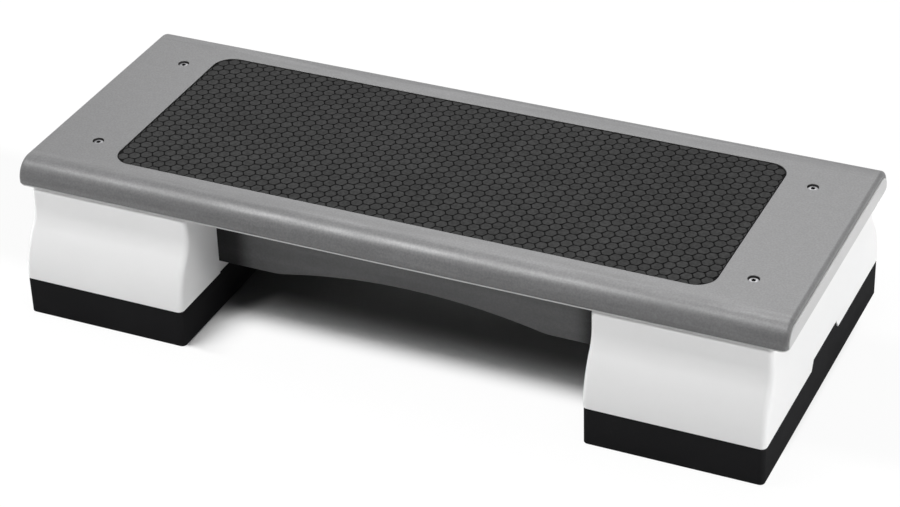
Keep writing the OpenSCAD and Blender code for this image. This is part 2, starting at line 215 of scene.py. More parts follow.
def mesh_from(name: str, work: bmesh.types.BMesh) -> Piece:
    """Turns a bmesh into an object, with its doubles merged and its faces outwards.

    Args:
        name: Name of the new object.
        work: The bmesh, which is freed.

    Returns:
        The new object.
    """
    bmesh.ops.remove_doubles(work, verts=work.verts, dist=WELD / 4)
    bmesh.ops.recalc_face_normals(work, faces=work.faces)
    mesh = bpy.data.meshes.new(name)
    work.to_mesh(mesh)
    work.free()
    return new_object(name, mesh)


def loft(name: str, rings: Sequence[Sequence[Vector]]) -> Piece:
    """Joins rings of equal length into a closed solid.

    Args:
        name: Name of the new object.
        rings: The rings in order, each with the same number of points.

    Returns:
        The new object.
    """
    work = bmesh.new()
    rows = [[work.verts.new(p) for p in ring] for ring in rings]
    count = len(rows[0])
    for low, high in zip(rows, rows[1:]):
        for i in range(count):
            work.faces.new((low[i], low[(i + 1) % count], high[(i + 1) % count], high[i]))
    work.faces.new(rows[0][::-1])
    work.faces.new(rows[-1])
    return mesh_from(name, work)


def prism(name: str, outline: Outline, low: float, high: float, facing: Facing = Facing.Z,
          low_edge: float = 0.0, high_edge: float = 0.0, steps: int = 3) -> Piece:
    """An outline drawn out along an axis, with rounded end edges.

    Args:
        name: Name of the new object.
        outline: Anticlockwise outline.
        low: Where the solid begins along the axis.
        high: Where it ends.
        facing: The axis.
        low_edge: Radius of the edge at the low end.
        high_edge: Radius of the edge at the high end.
        steps: Chords in each rounded edge.

    Returns:
        The new object.
    """
    levels: list[tuple[float, float]] = []
    for radius, end, way in ((low_edge, low, 1), (high_edge, high, -1)):
        turn = [math.radians(90 * i / steps) for i in range(steps + 1)] if radius else [0.0]
        part = [(end + way * radius * (1 - math.cos(a)), radius * (1 - math.sin(a)))
                for a in turn]
        levels += part if way > 0 else part[::-1]
    rings = [[facing.place(p, at) for p in (drawn_in(outline, inset) if inset else outline)]
             for at, inset in levels]
    return loft(name, rings)


def rod(name: str, foot: Vector, radius: float, length: float, facing: Facing = Facing.Z) -> Piece:
    """A round bar along an axis.

    Args:
        name: Name of the new object.
        foot: Centre of the end with the lowest coordinate.
        radius: Radius of the bar.
        length: Length of the bar.
        facing: The axis.

    Returns:
        The new object.
    """
    centre = {Facing.X: (foot.y, foot.z), Facing.Y: (foot.x, foot.z), Facing.Z: (foot.x, foot.y)}
    start = {Facing.X: foot.x, Facing.Y: foot.y, Facing.Z: foot.z}[facing]
    outline = polygon(radius, BAR_SIDES, centre[facing])
    return prism(name, outline, start, start + length, facing)


def lipped(name: str, outline: Outline, low: float, rim: float, lip: float) -> Piece:
    """A tool that cuts a hole with a rounded rim.

    Args:
        name: Name of the new object.
        outline: Anticlockwise outline of the hole, seen from above.
        low: Height of the hole's floor.
        rim: Height of the surface that the hole is cut into.
        lip: Radius of the rim's edge.

    Returns:
        The new object.
    """
    turns = [math.radians(a) for a in LIP_TURNS]
    levels = [(low, 0.0)]
    levels += [(rim - lip * (1 - math.sin(a)), lip * (1 - math.cos(a))) for a in turns]
    levels.append((rim + OVERRUN, levels[-1][1]))
    rings = [[Vector((x, y, z)) for x, y in (drawn_in(outline, -out) if out else outline)]
             for z, out in levels]
    return loft(name, rings)


def block(name: str, low: Sequence[float], high: Sequence[float], edge: float = 0.0) -> Piece:
    """A box from one corner to the other, with its long and upper edges chamfered."""
    outline = [(low[0], low[1]), (high[0], low[1]), (high[0], high[1]), (low[0], high[1])]
    return prism(name, outline, low[2], high[2], high_edge=edge, steps=2)


def lathe(name: str, profile: Outline) -> Piece:
    """A solid of revolution about Z, from a profile of radius and height, end to end."""
    rings = [[Vector((x, y, z)) for x, y in polygon(radius, TURNED_SIDES)] for radius, z in profile]
    return loft(name, rings)


def drop(*objects: Piece) -> None:
    """Removes objects with their meshes."""
    for item in objects:
        mesh = item.data
        bpy.data.objects.remove(item)
        bpy.data.meshes.remove(mesh)


def baked(item: Piece) -> Piece:
    """Applies an object's modifiers to its mesh.

    Args:
        item: The object.

    Returns:
        The same object, with its new mesh.
    """
    bpy.context.view_layer.update()
    solved = item.evaluated_get(bpy.context.evaluated_depsgraph_get())
    mesh = bpy.data.meshes.new_from_object(solved)
    old = item.data
    item.modifiers.clear()
    item.data = mesh
    bpy.data.meshes.remove(old)
    return item


def combine(item: Piece, tools: Sequence[Piece], cut: bool = True) -> Piece:
    """Cuts tools out of an object, or welds them onto it, and drops the tools.

    Args:
        item: The object that changes.
        tools: Closed solids.
        cut: True to cut, False to weld on.

    Returns:
        The changed object.
    """
    for tool in tools:
        modifier = item.modifiers.new("solid", "BOOLEAN")
        modifier.operation = "DIFFERENCE" if cut else "UNION"
        modifier.solver = "EXACT"
        modifier.object = tool
    baked(item)
    drop(*tools)
    return item


def smoothed(item: Piece) -> Piece:
    """Cleans a mesh and shades it smooth below SMOOTH_ANGLE, with flat faces kept flat.

    Args:
        item: The object.

    Returns:
        The same object.
    """
    work = bmesh.new()
    work.from_mesh(item.data)
    bmesh.ops.remove_doubles(work, verts=work.verts, dist=WELD)
    bmesh.ops.dissolve_degenerate(work, edges=work.edges, dist=WELD / 2)
    work.to_mesh(item.data)
    work.free()
    item.data.polygons.foreach_set("use_smooth", [True] * len(item.data.polygons))
    item.data.set_sharp_from_angle(angle=SMOOTH_ANGLE)
    modifier = item.modifiers.new("flat_faces", "WEIGHTED_NORMAL")
    modifier.keep_sharp = True
    modifier.weight = 100
    return baked(item)


def mirrored(item: Piece, name: str, axis: int) -> Piece:
    """A copy of an object across an axis (0 is X), with its faces outwards.

    Args:
        item: The object, which stays as it is.
        name: Name of the copy.
        axis: 0 where X changes its sign, 1 where Y does.

    Returns:
        The copy.
    """
    mesh = item.data.copy()
    mesh.name = name
    mesh.transform(Matrix.Scale(-1, 4, Vector([1.0 if i == axis else 0.0 for i in range(3)])))
    mesh.flip_normals()
    return new_object(name, mesh)


def hand_over(item: Piece, body: Body, material: Material, node: str) -> None:
    """Gives a finished piece its material, body and slot, and reports it.

    Args:
        item: The finished piece, at the origin.
        body: The body that it rides on.
        material: Its material.
        node: The CAD node that it stands for.
    """
    item.data.materials.clear()
    item.data.materials.append(material)
    item.data.polygons.foreach_set("material_index", [0] * len(item.data.polygons))
    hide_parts(node)
    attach(item, body.value)
    log.info("%s: %d faces on %s", item.name, len(item.data.polygons), body.value)


def hand_over_pair(item: Piece, twin: str, material: Material,
                   nodes: tuple[str, str], bodies: Sequence[Body] = (Body.PLATFORM,) * 2,
                   axis: int = 0) -> None:
    """Hands over a finished piece and its mirror image.

    Args:
        item: The finished piece, at the origin.
        twin: Name of the mirror image.
        material: The material of both.
        nodes: The CAD node of each.
        bodies: The body of each.
        axis: The axis that the image is mirrored across.
    """
    other = mirrored(item, twin, axis)
    for piece, body, node in zip((item, other), bodies, nodes):
        hand_over(piece, body, material, node)


def dress_node(node: str, material: Material) -> None:
    """Puts a material on a CAD node that is shown as it is.

    Args:
        node: Name of the node.
        material: The material.
    """
    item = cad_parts[node]
    item.data.materials.clear()
    item.data.materials.append(material)
    log.info("%s: CAD node with %s", node, material.name)


# Node trees


class Tree:
    """A small helper that places and joins nodes in one tree."""

    def __init__(self, tree: Group) -> None:
        """Keeps the tree that the helper works on."""
        self.tree = tree

    def node(self, kind: str, inputs: dict[str | int, object] | None = None,
             **settings: object) -> bpy.types.Node:
        """Places a node.

        Args:
            kind: The node's type.
            inputs: Values, or sockets to join, by input name or number.
            **settings: Properties of the node.

        Returns:
            The new node.
        """
        made = self.tree.nodes.new(kind)
        for key, value in settings.items():
            setattr(made, key, value)
        for key, value in (inputs or {}).items():
            self.feed(made.inputs[key], value)
        return made

    def feed(self, socket: Socket, value: object) -> None:
        """Joins a socket to another one, or gives it a value."""
        if isinstance(value, Socket):
            self.tree.links.new(value, socket)
        else:
            socket.default_value = value

    def math(self, operation: str, *values: object) -> Socket:
        """A Math node of up to three values, and its result."""
        made = self.node("ShaderNodeMath", dict(enumerate(values)), operation=operation)
        return made.outputs[0]

    def vector(self, x: object = 0.0, y: object = 0.0, z: object = 0.0) -> Socket:
        """A vector made of three values."""
        return self.node("ShaderNodeCombineXYZ", {0: x, 1: y, 2: z}).outputs[0]

    def split(self, vector: Socket) -> list[Socket]:
        """The three values of a vector."""
        return list(self.node("ShaderNodeSeparateXYZ", {0: vector}).outputs)

    def place(self) -> Socket:
        """The place on the piece, in Object coordinates."""
        return self.node("ShaderNodeTexCoord").outputs["Object"]

    def position(self) -> list[Socket]:
        """The three coordinates of a point in a geometry tree."""
        return self.split(self.node("GeometryNodeInputPosition").outputs[0])

    def noise(self, place: Socket, scale: object, detail: float, roughness: float = 0.5) -> Socket:
        """The value of a noise with a scale per metre."""
        return self.node("ShaderNodeTexNoise", {"Vector": place, "Scale": scale, "Detail": detail,
                                                "Roughness": roughness}).outputs[0]

    def mixed(self, share: object, first: object, second: object) -> Socket:
        """The first of two colours, with a share of the second."""
        made = self.node("ShaderNodeMix", {"Factor": share, 6: first, 7: second}, data_type="RGBA")
        return made.outputs[2]

    def ramp(self, value: object, low: float, high: float, out_low: object = 0.0,
             out_high: object = 1.0) -> Socket:
        """A value taken smoothly from one range to another."""
        made = self.node("ShaderNodeMapRange", {0: value, 1: low, 2: high, 3: out_low, 4: out_high},
                         interpolation_type="SMOOTHSTEP")
        return made.outputs[0]


def open_group(name: str, kind: str, inputs: dict[str, float | str],
               outputs: dict[str, str]) -> tuple[Tree, Sockets]:
    """Starts a node group with named sockets.

    Args:
        name: The group's name.
        kind: The type of its tree.
        inputs: Its inputs by name, each with its first number, or with its kind, such as Color.
        outputs: The kind of each output by name.

    Returns:
        A helper for the group's tree, and the sockets that give its inputs.
    """
    group = bpy.data.node_groups.new(name, kind)
    for label, value in inputs.items():
        word = value if isinstance(value, str) else {int: "Int", float: "Float"}[type(value)]
        socket = group.interface.new_socket(label, in_out="INPUT", socket_type="NodeSocket" + word)
        if value != word:
            socket.default_value = value
    for label, word in outputs.items():
        group.interface.new_socket(label, in_out="OUTPUT", socket_type="NodeSocket" + word)
    t = Tree(group)
    return t, t.node("NodeGroupInput").outputs


def close_geometry(t: Tree, geometry: Socket, finish: Socket) -> Group:
    """Ends a geometry tree: its instances made real and given their material.

    Args:
        t: The tree.
        geometry: What the tree hands out.
        finish: The socket that gives the material.

    Returns:
        The tree.
    """
    real = t.node("GeometryNodeRealizeInstances", {0: geometry}).outputs[0]
    made = t.node("GeometryNodeSetMaterial", {"Geometry": real, "Material": finish})
    t.node("NodeGroupOutput", {0: made.outputs[0]})
    return t.tree


def run_tree(item: Piece, tree: Group, **values: object) -> Piece:
    """Runs a geometry tree on an object and keeps the result as its mesh.

    Args:
        item: The object that the tree works on.
        tree: A geometry node tree.
        **values: Its inputs by name, with spaces written as underscores.

    Returns:
        The same object with its new mesh.
    """
    modifier = item.modifiers.new(tree.name, "NODES")
    modifier.node_group = tree
    found = {s.name.replace(" ", "_"): s.identifier for s in tree.interface.items_tree
             if s.in_out == "INPUT"}
    for name, value in values.items():
        modifier[found[name]] = value
    return baked(item)


@lru_cache(maxsize=None)
def copies_tree() -> Group:
    """A geometry tree that sets a piece down on a grid of places.

    Returns:
        The tree, with the counts, pitches and middle of the grid and the material as inputs.
    """
    t, given = open_group("copies_on_a_grid", "GeometryNodeTree", {
        "Piece": "Geometry", "Columns": 2, "Rows": 2, "Column pitch": 0.1, "Row pitch": 0.1,
        "Middle": "Vector", "Finish": "Material"}, {"Geometry": "Geometry"})
    count = t.math("MULTIPLY", given["Columns"], given["Rows"])
    index = t.node("GeometryNodeInputIndex").outputs[0]
    row = t.math("MODULO", index, given["Rows"])
    column = t.math("FLOOR", t.math("DIVIDE", index, given["Rows"]))
    places = []
    for step, number, pitch in ((column, "Columns", "Column pitch"), (row, "Rows", "Row pitch")):
        half = t.math("DIVIDE", t.math("SUBTRACT", given[number], 1.0), 2.0)
        places.append(t.math("MULTIPLY", t.math("SUBTRACT", step, half), given[pitch]))
    spot = t.node("ShaderNodeVectorMath", {0: t.vector(*places), 1: given["Middle"]},
                  operation="ADD").outputs[0]
    points = t.node("GeometryNodePoints", {"Count": count, "Position": spot}).outputs[0]
    placed = t.node("GeometryNodeInstanceOnPoints", {"Points": points, "Instance": given["Piece"]})
    return close_geometry(t, placed.outputs[0], given["Finish"])


@dataclass(frozen=True)
class Grid:
    """Places on a grid: how many, how far apart and about which middle."""

    columns: int
    rows: int
    column_pitch: float
    row_pitch: float
    middle: tuple[float, float, float] = (0.0, 0.0, 0.0)

    def fill(self, item: Piece, material: Material | None = None) -> Piece:
        """Turns one piece into as many copies as the grid has places."""
        return run_tree(item, copies_tree(), Columns=self.columns, Rows=self.rows,
                        Column_pitch=self.column_pitch, Row_pitch=self.row_pitch,
                        Middle=self.middle, Finish=material)


# Shared effects


@lru_cache(maxsize=None)
def grain_group() -> Group:
    """The fine spark-eroded grain of a moulded surface.

    Returns:
        A shader group with the grain's height and a mask of slow change.
    """
    t, given = open_group("moulded_grain", "ShaderNodeTree",
                          {"Grains per metre": 900.0, "Patches per metre": 6.0},
                          {"Height": "Float", "Patches": "Float"})
    place = t.place()
    fine = t.noise(place, given["Grains per metre"], 2.0, 0.6)
    slow = t.noise(place, given["Patches per metre"], 4.0, 0.55)
    t.node("NodeGroupOutput", {0: fine, 1: t.ramp(slow, *NOISE_RANGE)})
    return t.tree


@lru_cache(maxsize=None)
def streak_group() -> Group:
    """Fine streaks along the length of a rolled or printed foil.

    Returns:
        A shader group with the streaks' height and their tone.
    """
    t, given = open_group("foil_streaks", "ShaderNodeTree", {"Across": 700.0, "Along": 30.0},
                          {"Height": "Float", "Tone": "Float"})
    x, y, z = t.split(t.place())
    drawn = t.vector(t.math("MULTIPLY", x, given["Along"]), t.math("MULTIPLY", y, given["Across"]),
                     t.math("MULTIPLY", z, given["Across"]))
    fine = t.noise(drawn, 1.0, 3.0, 0.65)
    broad = t.noise(drawn, 0.16, 3.0, 0.6)
    t.node("NodeGroupOutput", {0: fine, 1: t.ramp(broad, 0.35, 0.72)})
    return t.tree


@lru_cache(maxsize=None)
def tone_group() -> Group:
    """Makes a colour lighter or darker by a mask.

    Returns:
        A shader group with the changed colour.
    """
    t, given = open_group("tone_by_mask", "ShaderNodeTree",
                          {"Colour": "Color", "Mask": 0.5, "Darkest": 0.9, "Lightest": 1.1},
                          {"Colour": "Color"})
    factor = t.node("ShaderNodeMapRange", {0: given["Mask"], 1: 0.0, 2: 1.0,
                                           3: given["Darkest"], 4: given["Lightest"]}).outputs[0]
    made = t.node("ShaderNodeVectorMath", {0: given["Colour"], "Scale": factor}, operation="SCALE")
    t.node("NodeGroupOutput", {0: made.outputs[0]})
    return t.tree


@lru_cache(maxsize=None)
def scuff_group() -> Group:
    """Dust and light scuffs, thin and scattered.

    Returns:
        A shader group with one mask.
    """
    t, given = open_group("scuffs_and_dust", "ShaderNodeTree",
                          {"Spots per metre": 260.0, "Areas per metre": 9.0, "Share": 0.2},
                          {"Mask": "Float"})
    place = t.place()
    spots = t.ramp(t.noise(place, given["Spots per metre"], 3.0, 0.7), 0.56, 0.78)
    areas = t.ramp(t.noise(place, given["Areas per metre"], 2.0), 0.4, 0.7)
    mask = t.math("MULTIPLY", spots, areas)
    t.node("NodeGroupOutput", {0: t.math("MULTIPLY", mask, given["Share"])})
    return t.tree


def use_group(tree: Tree, group: Group, **inputs: object) -> bpy.types.Node:
    """Places a shader group with its inputs by name, spaces written as underscores.

    Args:
        tree: The material's tree.
        group: The group.
        **inputs: Values, or sockets to join.

    Returns:
        The group's node.
    """
    made = tree.node("ShaderNodeGroup", node_tree=group)
    for key, value in inputs.items():
        tree.feed(made.inputs[key.replace("_", " ")], value)
    return made


# Finishes


@dataclass(frozen=True)
class Finish:
    """What every finish says: a name, a grey or colour in linear light, and its gloss."""

    name: str
    colour: Colour
    roughness: float
    specular: float = 0.5
    metallic: float = 0.0

    def build(self) -> Material:
        """Builds the material.

        Returns:
            The material, with its surface filled in by the finish's own texture method.
        """
        material = bpy.data.materials.new(self.name)
        material.use_nodes = True
        material.diffuse_color = (*self.colour, 1.0)
        t = Tree(material.node_tree)
        shader = material.node_tree.nodes["Principled BSDF"]
        for socket, value in (("Base Color", (*self.colour, 1.0)), ("Roughness", self.roughness),
                              ("Metallic", self.metallic), ("Specular IOR Level", self.specular)):
            shader.inputs[socket].default_value = value
        self.texture(t, shader)
        return material

    def texture(self, t: Tree, shader: bpy.types.Node) -> None:
        """Adds the detail of the surface to the shader."""

    def tint(self, t: Tree, mask: object, darkest: float, lightest: float,
             colour: object = None) -> Socket:
        """The finish's colour, or another one, between two tones by a mask."""
        base = (*self.colour, 1.0) if colour is None else colour
        return use_group(t, tone_group(), Colour=base, Mask=mask, Darkest=darkest,
                         Lightest=lightest).outputs[0]

    def swung(self, t: Tree, mask: object, swing: float, colour: object = None) -> Socket:
        """The colour, from a swing below its own tone to a swing above it by a mask."""
        return self.tint(t, mask, 1 - swing, 1 + swing, colour)

    def dusted(self, t: Tree, colour: object, share: float, dust: Colour,
               spots: float = 260.0) -> Socket:
        """The colour with thin dust on it.

        Args:
            t: The material's tree.
            colour: The colour under the dust.
            share: How thick the dust is, up to 1.
            dust: Colour of the dust.
            spots: Its spots per metre.

        Returns:
            The mixed colour.
        """
        scuffs = use_group(t, scuff_group(), Spots_per_metre=spots, Share=share)
        return t.mixed(scuffs.outputs[0], colour, (*dust, 1.0))

    def gloss(self, t: Tree, shader: bpy.types.Node, mask: object, duller: float,
              glossier: float) -> None:
        """Feeds the shader a roughness that falls as a mask rises.

        Args:
            t: The material's tree.
            shader: Its shader.
            mask: A value from 0 to 1.
            duller: What the roughness gains where the mask is 0.
            glossier: What it loses where the mask is 1.
        """
        t.feed(shader.inputs["Roughness"], t.ramp(mask, 0.0, 1.0, self.roughness + duller,
                                                  self.roughness - glossier))

    def relief(self, t: Tree, shader: bpy.types.Node, height: object, depth: float) -> None:
        """Feeds a height to the shader's normal, with a depth in metres."""
        bump = t.node("ShaderNodeBump", {"Height": height, "Distance": depth, "Strength": 1.0})
        t.feed(shader.inputs["Normal"], bump.outputs[0])


@dataclass(frozen=True)
class FoilFinish(Finish):
    """Printed foil on fibreboard: a fine sparkle, and streaks where it is drawn over edges."""

    flecks: float = 420.0
    fleck_tone: float = 0.17
    patches: float = 80.0
    patch_tone: float = 0.05
    grains: float = 1500.0
    grain_share: float = 0.5
    streaks_across: float = 520.0
    streaks_along: float = 34.0
    streak_depth: float = 0.02 * MM
    streak_tone: float = 0.18
    streak_gloss: float = 0.04

    def streak_share(self, t: Tree, place: list[Socket]) -> object:
        """How strong the streaks are at a place: the same everywhere."""
        return 1.0

    def by_place(self, t: Tree, place: list[Socket], colour: Socket) -> Socket:
        """The colour as it changes from place to place: nowhere."""
        return colour

    def texture(self, t: Tree, shader: bpy.types.Node) -> None:
        """Streaks in tone, gloss and relief, with a grain all over.

        Args:
            t: The material's tree.
            shader: Its shader.
        """
        place = t.split(t.place())
        share = self.streak_share(t, place)
        streaks = use_group(t, streak_group(), Across=self.streaks_across, Along=self.streaks_along)
        grain = use_group(t, grain_group(), Grains_per_metre=self.grains)
        flecks = use_group(t, grain_group(), Grains_per_metre=self.flecks,
                           Patches_per_metre=self.patches)
        tone = t.math("MULTIPLY", t.math("SUBTRACT", streaks.outputs["Tone"], 0.5), share)
        streaked = t.math("ADD", tone, 0.5)
        toned = self.swung(t, streaked, self.streak_tone)
        spots = t.ramp(flecks.outputs["Height"], *NOISE_RANGE)
        spotted = self.swung(t, spots, self.fleck_tone, toned)
        patched = self.swung(t, flecks.outputs["Patches"], self.patch_tone, spotted)
        t.feed(shader.inputs["Base Color"], self.by_place(t, place, patched))
        self.gloss(t, shader, streaked, self.streak_gloss, self.streak_gloss)
        drawn = t.math("MULTIPLY", streaks.outputs["Height"], share)
        grained = t.math("MULTIPLY", grain.outputs["Height"], self.grain_share)
        self.relief(t, shader, t.math("ADD", drawn, grained), self.streak_depth)


@dataclass(frozen=True)
class BoardFoilFinish(FoilFinish):
    """The board's foil: streaks toward the noses, and painted shade on the milled faces of the
    recess and the seats.
    """

    streak_y: tuple[float, float] = (140 * MM, 172 * MM)
    nose_y: float = 166 * MM
    end_x: float = 470 * MM
    bare_z: float = 199.4 * MM
    bare_edge: float = 0.3 * MM
    bare_colour: Colour = (0.014, 0.013, 0.012)

    def streak_share(self, t: Tree, place: list[Socket]) -> Socket:
        """One on the noses, and nothing in the middle of the top."""
        return t.ramp(t.math("ABSOLUTE", place[1]), *self.streak_y)

    def by_place(self, t: Tree, place: list[Socket], colour: Socket) -> Socket:
        """Near-black painted shade on the milled faces in the recess and the screw seats, below
        their rims.

        Args:
            t: The material's tree.
            place: The place's three coordinates.
            colour: The foil's colour.

        Returns:
            The mixed colour.
        """
        inside = t.math("MULTIPLY", t.math("LESS_THAN", t.math("ABSOLUTE", place[0]), self.end_x),
                        t.math("LESS_THAN", t.math("ABSOLUTE", place[1]), self.nose_y))
        # painted shade: the cut faces below the rim turn near-black
        deep = t.ramp(place[2], self.bare_z, self.bare_z - self.bare_edge)
        return t.mixed(t.math("MULTIPLY", inside, deep), colour, (*self.bare_colour, 1.0))


@dataclass(frozen=True)
class RailFoilFinish(FoilFinish):
    """The rails' foil, with painted shade in the corners that the rails make with the legs: darker
    colour and weaker reflection there.
    """

    corner_x: tuple[float, float] = (208 * MM, 236 * MM)
    corner_tone: float = 0.25

    def open_share(self, t: Tree, place: list[Socket], inside: float = 0.0) -> Socket:
        """One along the rail, down to a lower share in its corners, where shade is painted."""
        # painted shade: the share falls over the corners where the rails meet the legs
        return t.ramp(t.math("ABSOLUTE", place[0]), *self.corner_x, 1.0, inside)

    def by_place(self, t: Tree, place: list[Socket], colour: Socket) -> Socket:
        """The colour, darkened by painted shade in the corners."""
        return self.tint(t, self.open_share(t, place), self.corner_tone, 1.0, colour)

    def texture(self, t: Tree, shader: bpy.types.Node) -> None:
        """The foil's texture, with its reflection taken down in the corners as painted shade.

        Args:
            t: The material's tree.
            shader: Its shader.
        """
        super().texture(t, shader)
        share = self.open_share(t, t.split(t.place()), self.corner_tone)
        # painted shade also weakens the reflection in the corners
        t.feed(shader.inputs["Specular IOR Level"], t.math("MULTIPLY", share, self.specular))


@dataclass(frozen=True)
class MouldedFinish(Finish):
    """Moulded plastic: spark-eroded grain, slow changes of gloss and a little dust."""

    grains: float = 1100.0
    grain_depth: float = 0.03 * MM
    patch_tone: float = 0.02
    patch_gloss: float = 0.05
    dust: float = 0.1
    dust_colour: Colour = (0.35, 0.35, 0.35)

    def texture(self, t: Tree, shader: bpy.types.Node) -> None:
        """Grain in the relief, patches in tone and gloss, dust on top.

        Args:
            t: The material's tree.
            shader: Its shader.
        """
        grain = use_group(t, grain_group(), Grains_per_metre=self.grains)
        toned = self.swung(t, grain.outputs["Patches"], self.patch_tone)
        t.feed(shader.inputs["Base Color"], self.dusted(t, toned, self.dust, self.dust_colour))
        self.gloss(t, shader, grain.outputs["Patches"], self.patch_gloss, self.patch_gloss)
        self.relief(t, shader, grain.outputs["Height"], self.grain_depth)


@dataclass(frozen=True)
class TreadFinish(Finish):
    """Tread rubber: each cell its own tone, and painted shade in the grooves, darker with depth."""

    top: float = 0.199
    groove: float = 1.2 * MM
    groove_tone: float = 0.25
    grains: float = 1400.0
    grain_depth: float = 0.08 * MM
    patches: float = 4.0
    patch_tone: float = 0.05
    mottles: float = 260.0
    mottle_tones: tuple[float, float] = (0.78, 1.16)
    cell_tone: float = 0.04
    cell_gloss: float = 0.06
    spots: float = 420.0
    dust: float = 0.1
    dust_colour: Colour = (0.16, 0.16, 0.16)

    def texture(self, t: Tree, shader: bpy.types.Node) -> None:
        """Tone by cell, painted shade by height in the grooves, with a grainy relief.

        Args:
            t: The material's tree.
            shader: Its shader.
        """
        grain = use_group(t, grain_group(), Grains_per_metre=self.grains,
                          Patches_per_metre=self.patches)
        mottle = use_group(t, grain_group(), Grains_per_metre=self.mottles)
        cell = t.node("ShaderNodeAttribute", attribute_name=CELL_TONE).outputs["Fac"]
        height = t.split(t.place())[2]
        toned = self.swung(t, cell, self.cell_tone)
        mottled = self.tint(t, t.ramp(mottle.outputs["Height"], *NOISE_RANGE), *self.mottle_tones,
                            toned)
        patched = self.swung(t, grain.outputs["Patches"], self.patch_tone, mottled)
        # painted shade: darker below the cell tops, down the sides and in the grooves
        groove_shaded = self.tint(t, t.ramp(height, self.top - self.groove, self.top), self.groove_tone, 1.0,
                         patched)
        t.feed(shader.inputs["Base Color"],
               self.dusted(t, groove_shaded, self.dust, self.dust_colour, self.spots))
        self.gloss(t, shader, cell, self.cell_gloss, self.cell_gloss)
        self.relief(t, shader, grain.outputs["Height"], self.grain_depth)


@dataclass(frozen=True)
class MetalFinish(Finish):
    """Plated or turned metal: a fine grain and slow changes of gloss, with painted shade inside
    sockets.
    """

    grains: float = 2600.0
    grain_depth: float = 0.01 * MM
    patches: float = 160.0
    patch_tones: tuple[float, float] = (0.85, 1.1)
    patch_gloss: tuple[float, float] = (0.08, 0.06)
    socket_tone: float = 0.03

    def texture(self, t: Tree, shader: bpy.types.Node) -> None:
        """Patches in tone and gloss, painted shade in sockets, grain in the relief.

        Args:
            t: The material's tree.
            shader: Its shader.
        """
        grain = use_group(t, grain_group(), Grains_per_metre=self.grains,
                          Patches_per_metre=self.patches)
        socket = t.node("ShaderNodeAttribute", attribute_name=SOCKET_SHADE_MARK).outputs["Fac"]
        toned = self.tint(t, grain.outputs["Patches"], *self.patch_tones)
        # painted shade: marked socket faces turn near-black
        t.feed(shader.inputs["Base Color"], self.tint(t, socket, 1.0, self.socket_tone, toned))
        self.gloss(t, shader, grain.outputs["Patches"], *self.patch_gloss)
        self.relief(t, shader, grain.outputs["Height"], self.grain_depth)


def grey(level: float, blue: float = 1.0) -> Colour:
    """A neutral colour in linear light, a little cooler where blue is over 1."""
    return (level, level, level * blue)


@dataclass
class Finishes:
    """Every material of the platform, built once."""

    foil: BoardFoilFinish = BoardFoilFinish("silver_foil", grey(0.1, 1.02), 0.4, 0.86)
    rail_foil: RailFoilFinish = RailFoilFinish("rail_foil", grey(0.043, 1.04), 0.5, 0.8,
                                               streaks_across=260.0, streaks_along=22.0)
    sheet: MouldedFinish = MouldedFinish("underside_melamine", grey(0.6), 0.5, dust=0.04)
    strip: MouldedFinish = MouldedFinish("edge_strip_satin", grey(0.5), 0.42, 0.25, dust=0.03)
    white: MouldedFinish = MouldedFinish("moulded_white", grey(0.83), 0.48, 0.42, patch_tone=0.01,
                                         dust=0.03, dust_colour=(0.6, 0.6, 0.6))
    black: MouldedFinish = MouldedFinish("moulded_black", grey(0.0155, 1.05), 0.6, 0.006,
                                         patch_tone=0.08, dust=0.02)
    rubber: TreadFinish = TreadFinish("tread_rubber", grey(0.0375), 0.78, 0.036)
    foot: MouldedFinish = MouldedFinish("foot_rubber", grey(0.02), 0.8, 0.25, patch_tone=0.06)
    steel: MetalFinish = MetalFinish("zinc_plated_steel", grey(0.27, 1.03), 0.38, metallic=1.0)
    brass: MetalFinish = MetalFinish("turned_brass", (0.46, 0.33, 0.12), 0.3, metallic=1.0)
    made: dict[str, Material] = field(default_factory=dict)

    def get(self, finish: Finish) -> Material:
        """The material of a finish, built when it is first asked for."""
        if finish.name not in self.made:
            self.made[finish.name] = finish.build()
        return self.made[finish.name]


# Sub-assemblies


@dataclass(frozen=True)
class ScrewPlaces:
    """Where the leg screws and rail bolts stand, from above."""

    deck_x: float = 422 * MM
    hidden_x: float = 312 * MM
    screw_y: float = 107 * MM
    bolt_pitch: float = 200 * MM
    rail_y: float = 108 * MM

    def pairs(self, x: float) -> list[Grid]:
        """Two screws at each end, at a distance from the middle, as one grid for each end."""
        return [Grid(1, 2, 0.0, 2 * self.screw_y, (side.value * x, 0.0, 0.0)) for side in Side]

    def deck(self) -> list[Grid]:
        """The visible screws of both ends."""
        return self.pairs(self.deck_x)

    def hidden(self) -> list[Grid]:
        """The screws under the mat."""
        return self.pairs(self.hidden_x)

    def leg(self, rows: int = 2) -> Grid:
        """The right-hand leg's screws in two columns, or the columns' middles with one row."""
        middle = (self.deck_x + self.hidden_x) / 2
        return Grid(2, rows, self.deck_x - self.hidden_x, 2 * self.screw_y, (middle, 0.0, 0.0))

    def rails(self) -> list[Grid]:
        """The bolts of the front and the back rail."""
        return [Grid(3, 1, self.bolt_pitch, 0.0, (0.0, s * self.rail_y, 0.0)) for s in (-1, 1)]


SCREW_PLACES = ScrewPlaces()


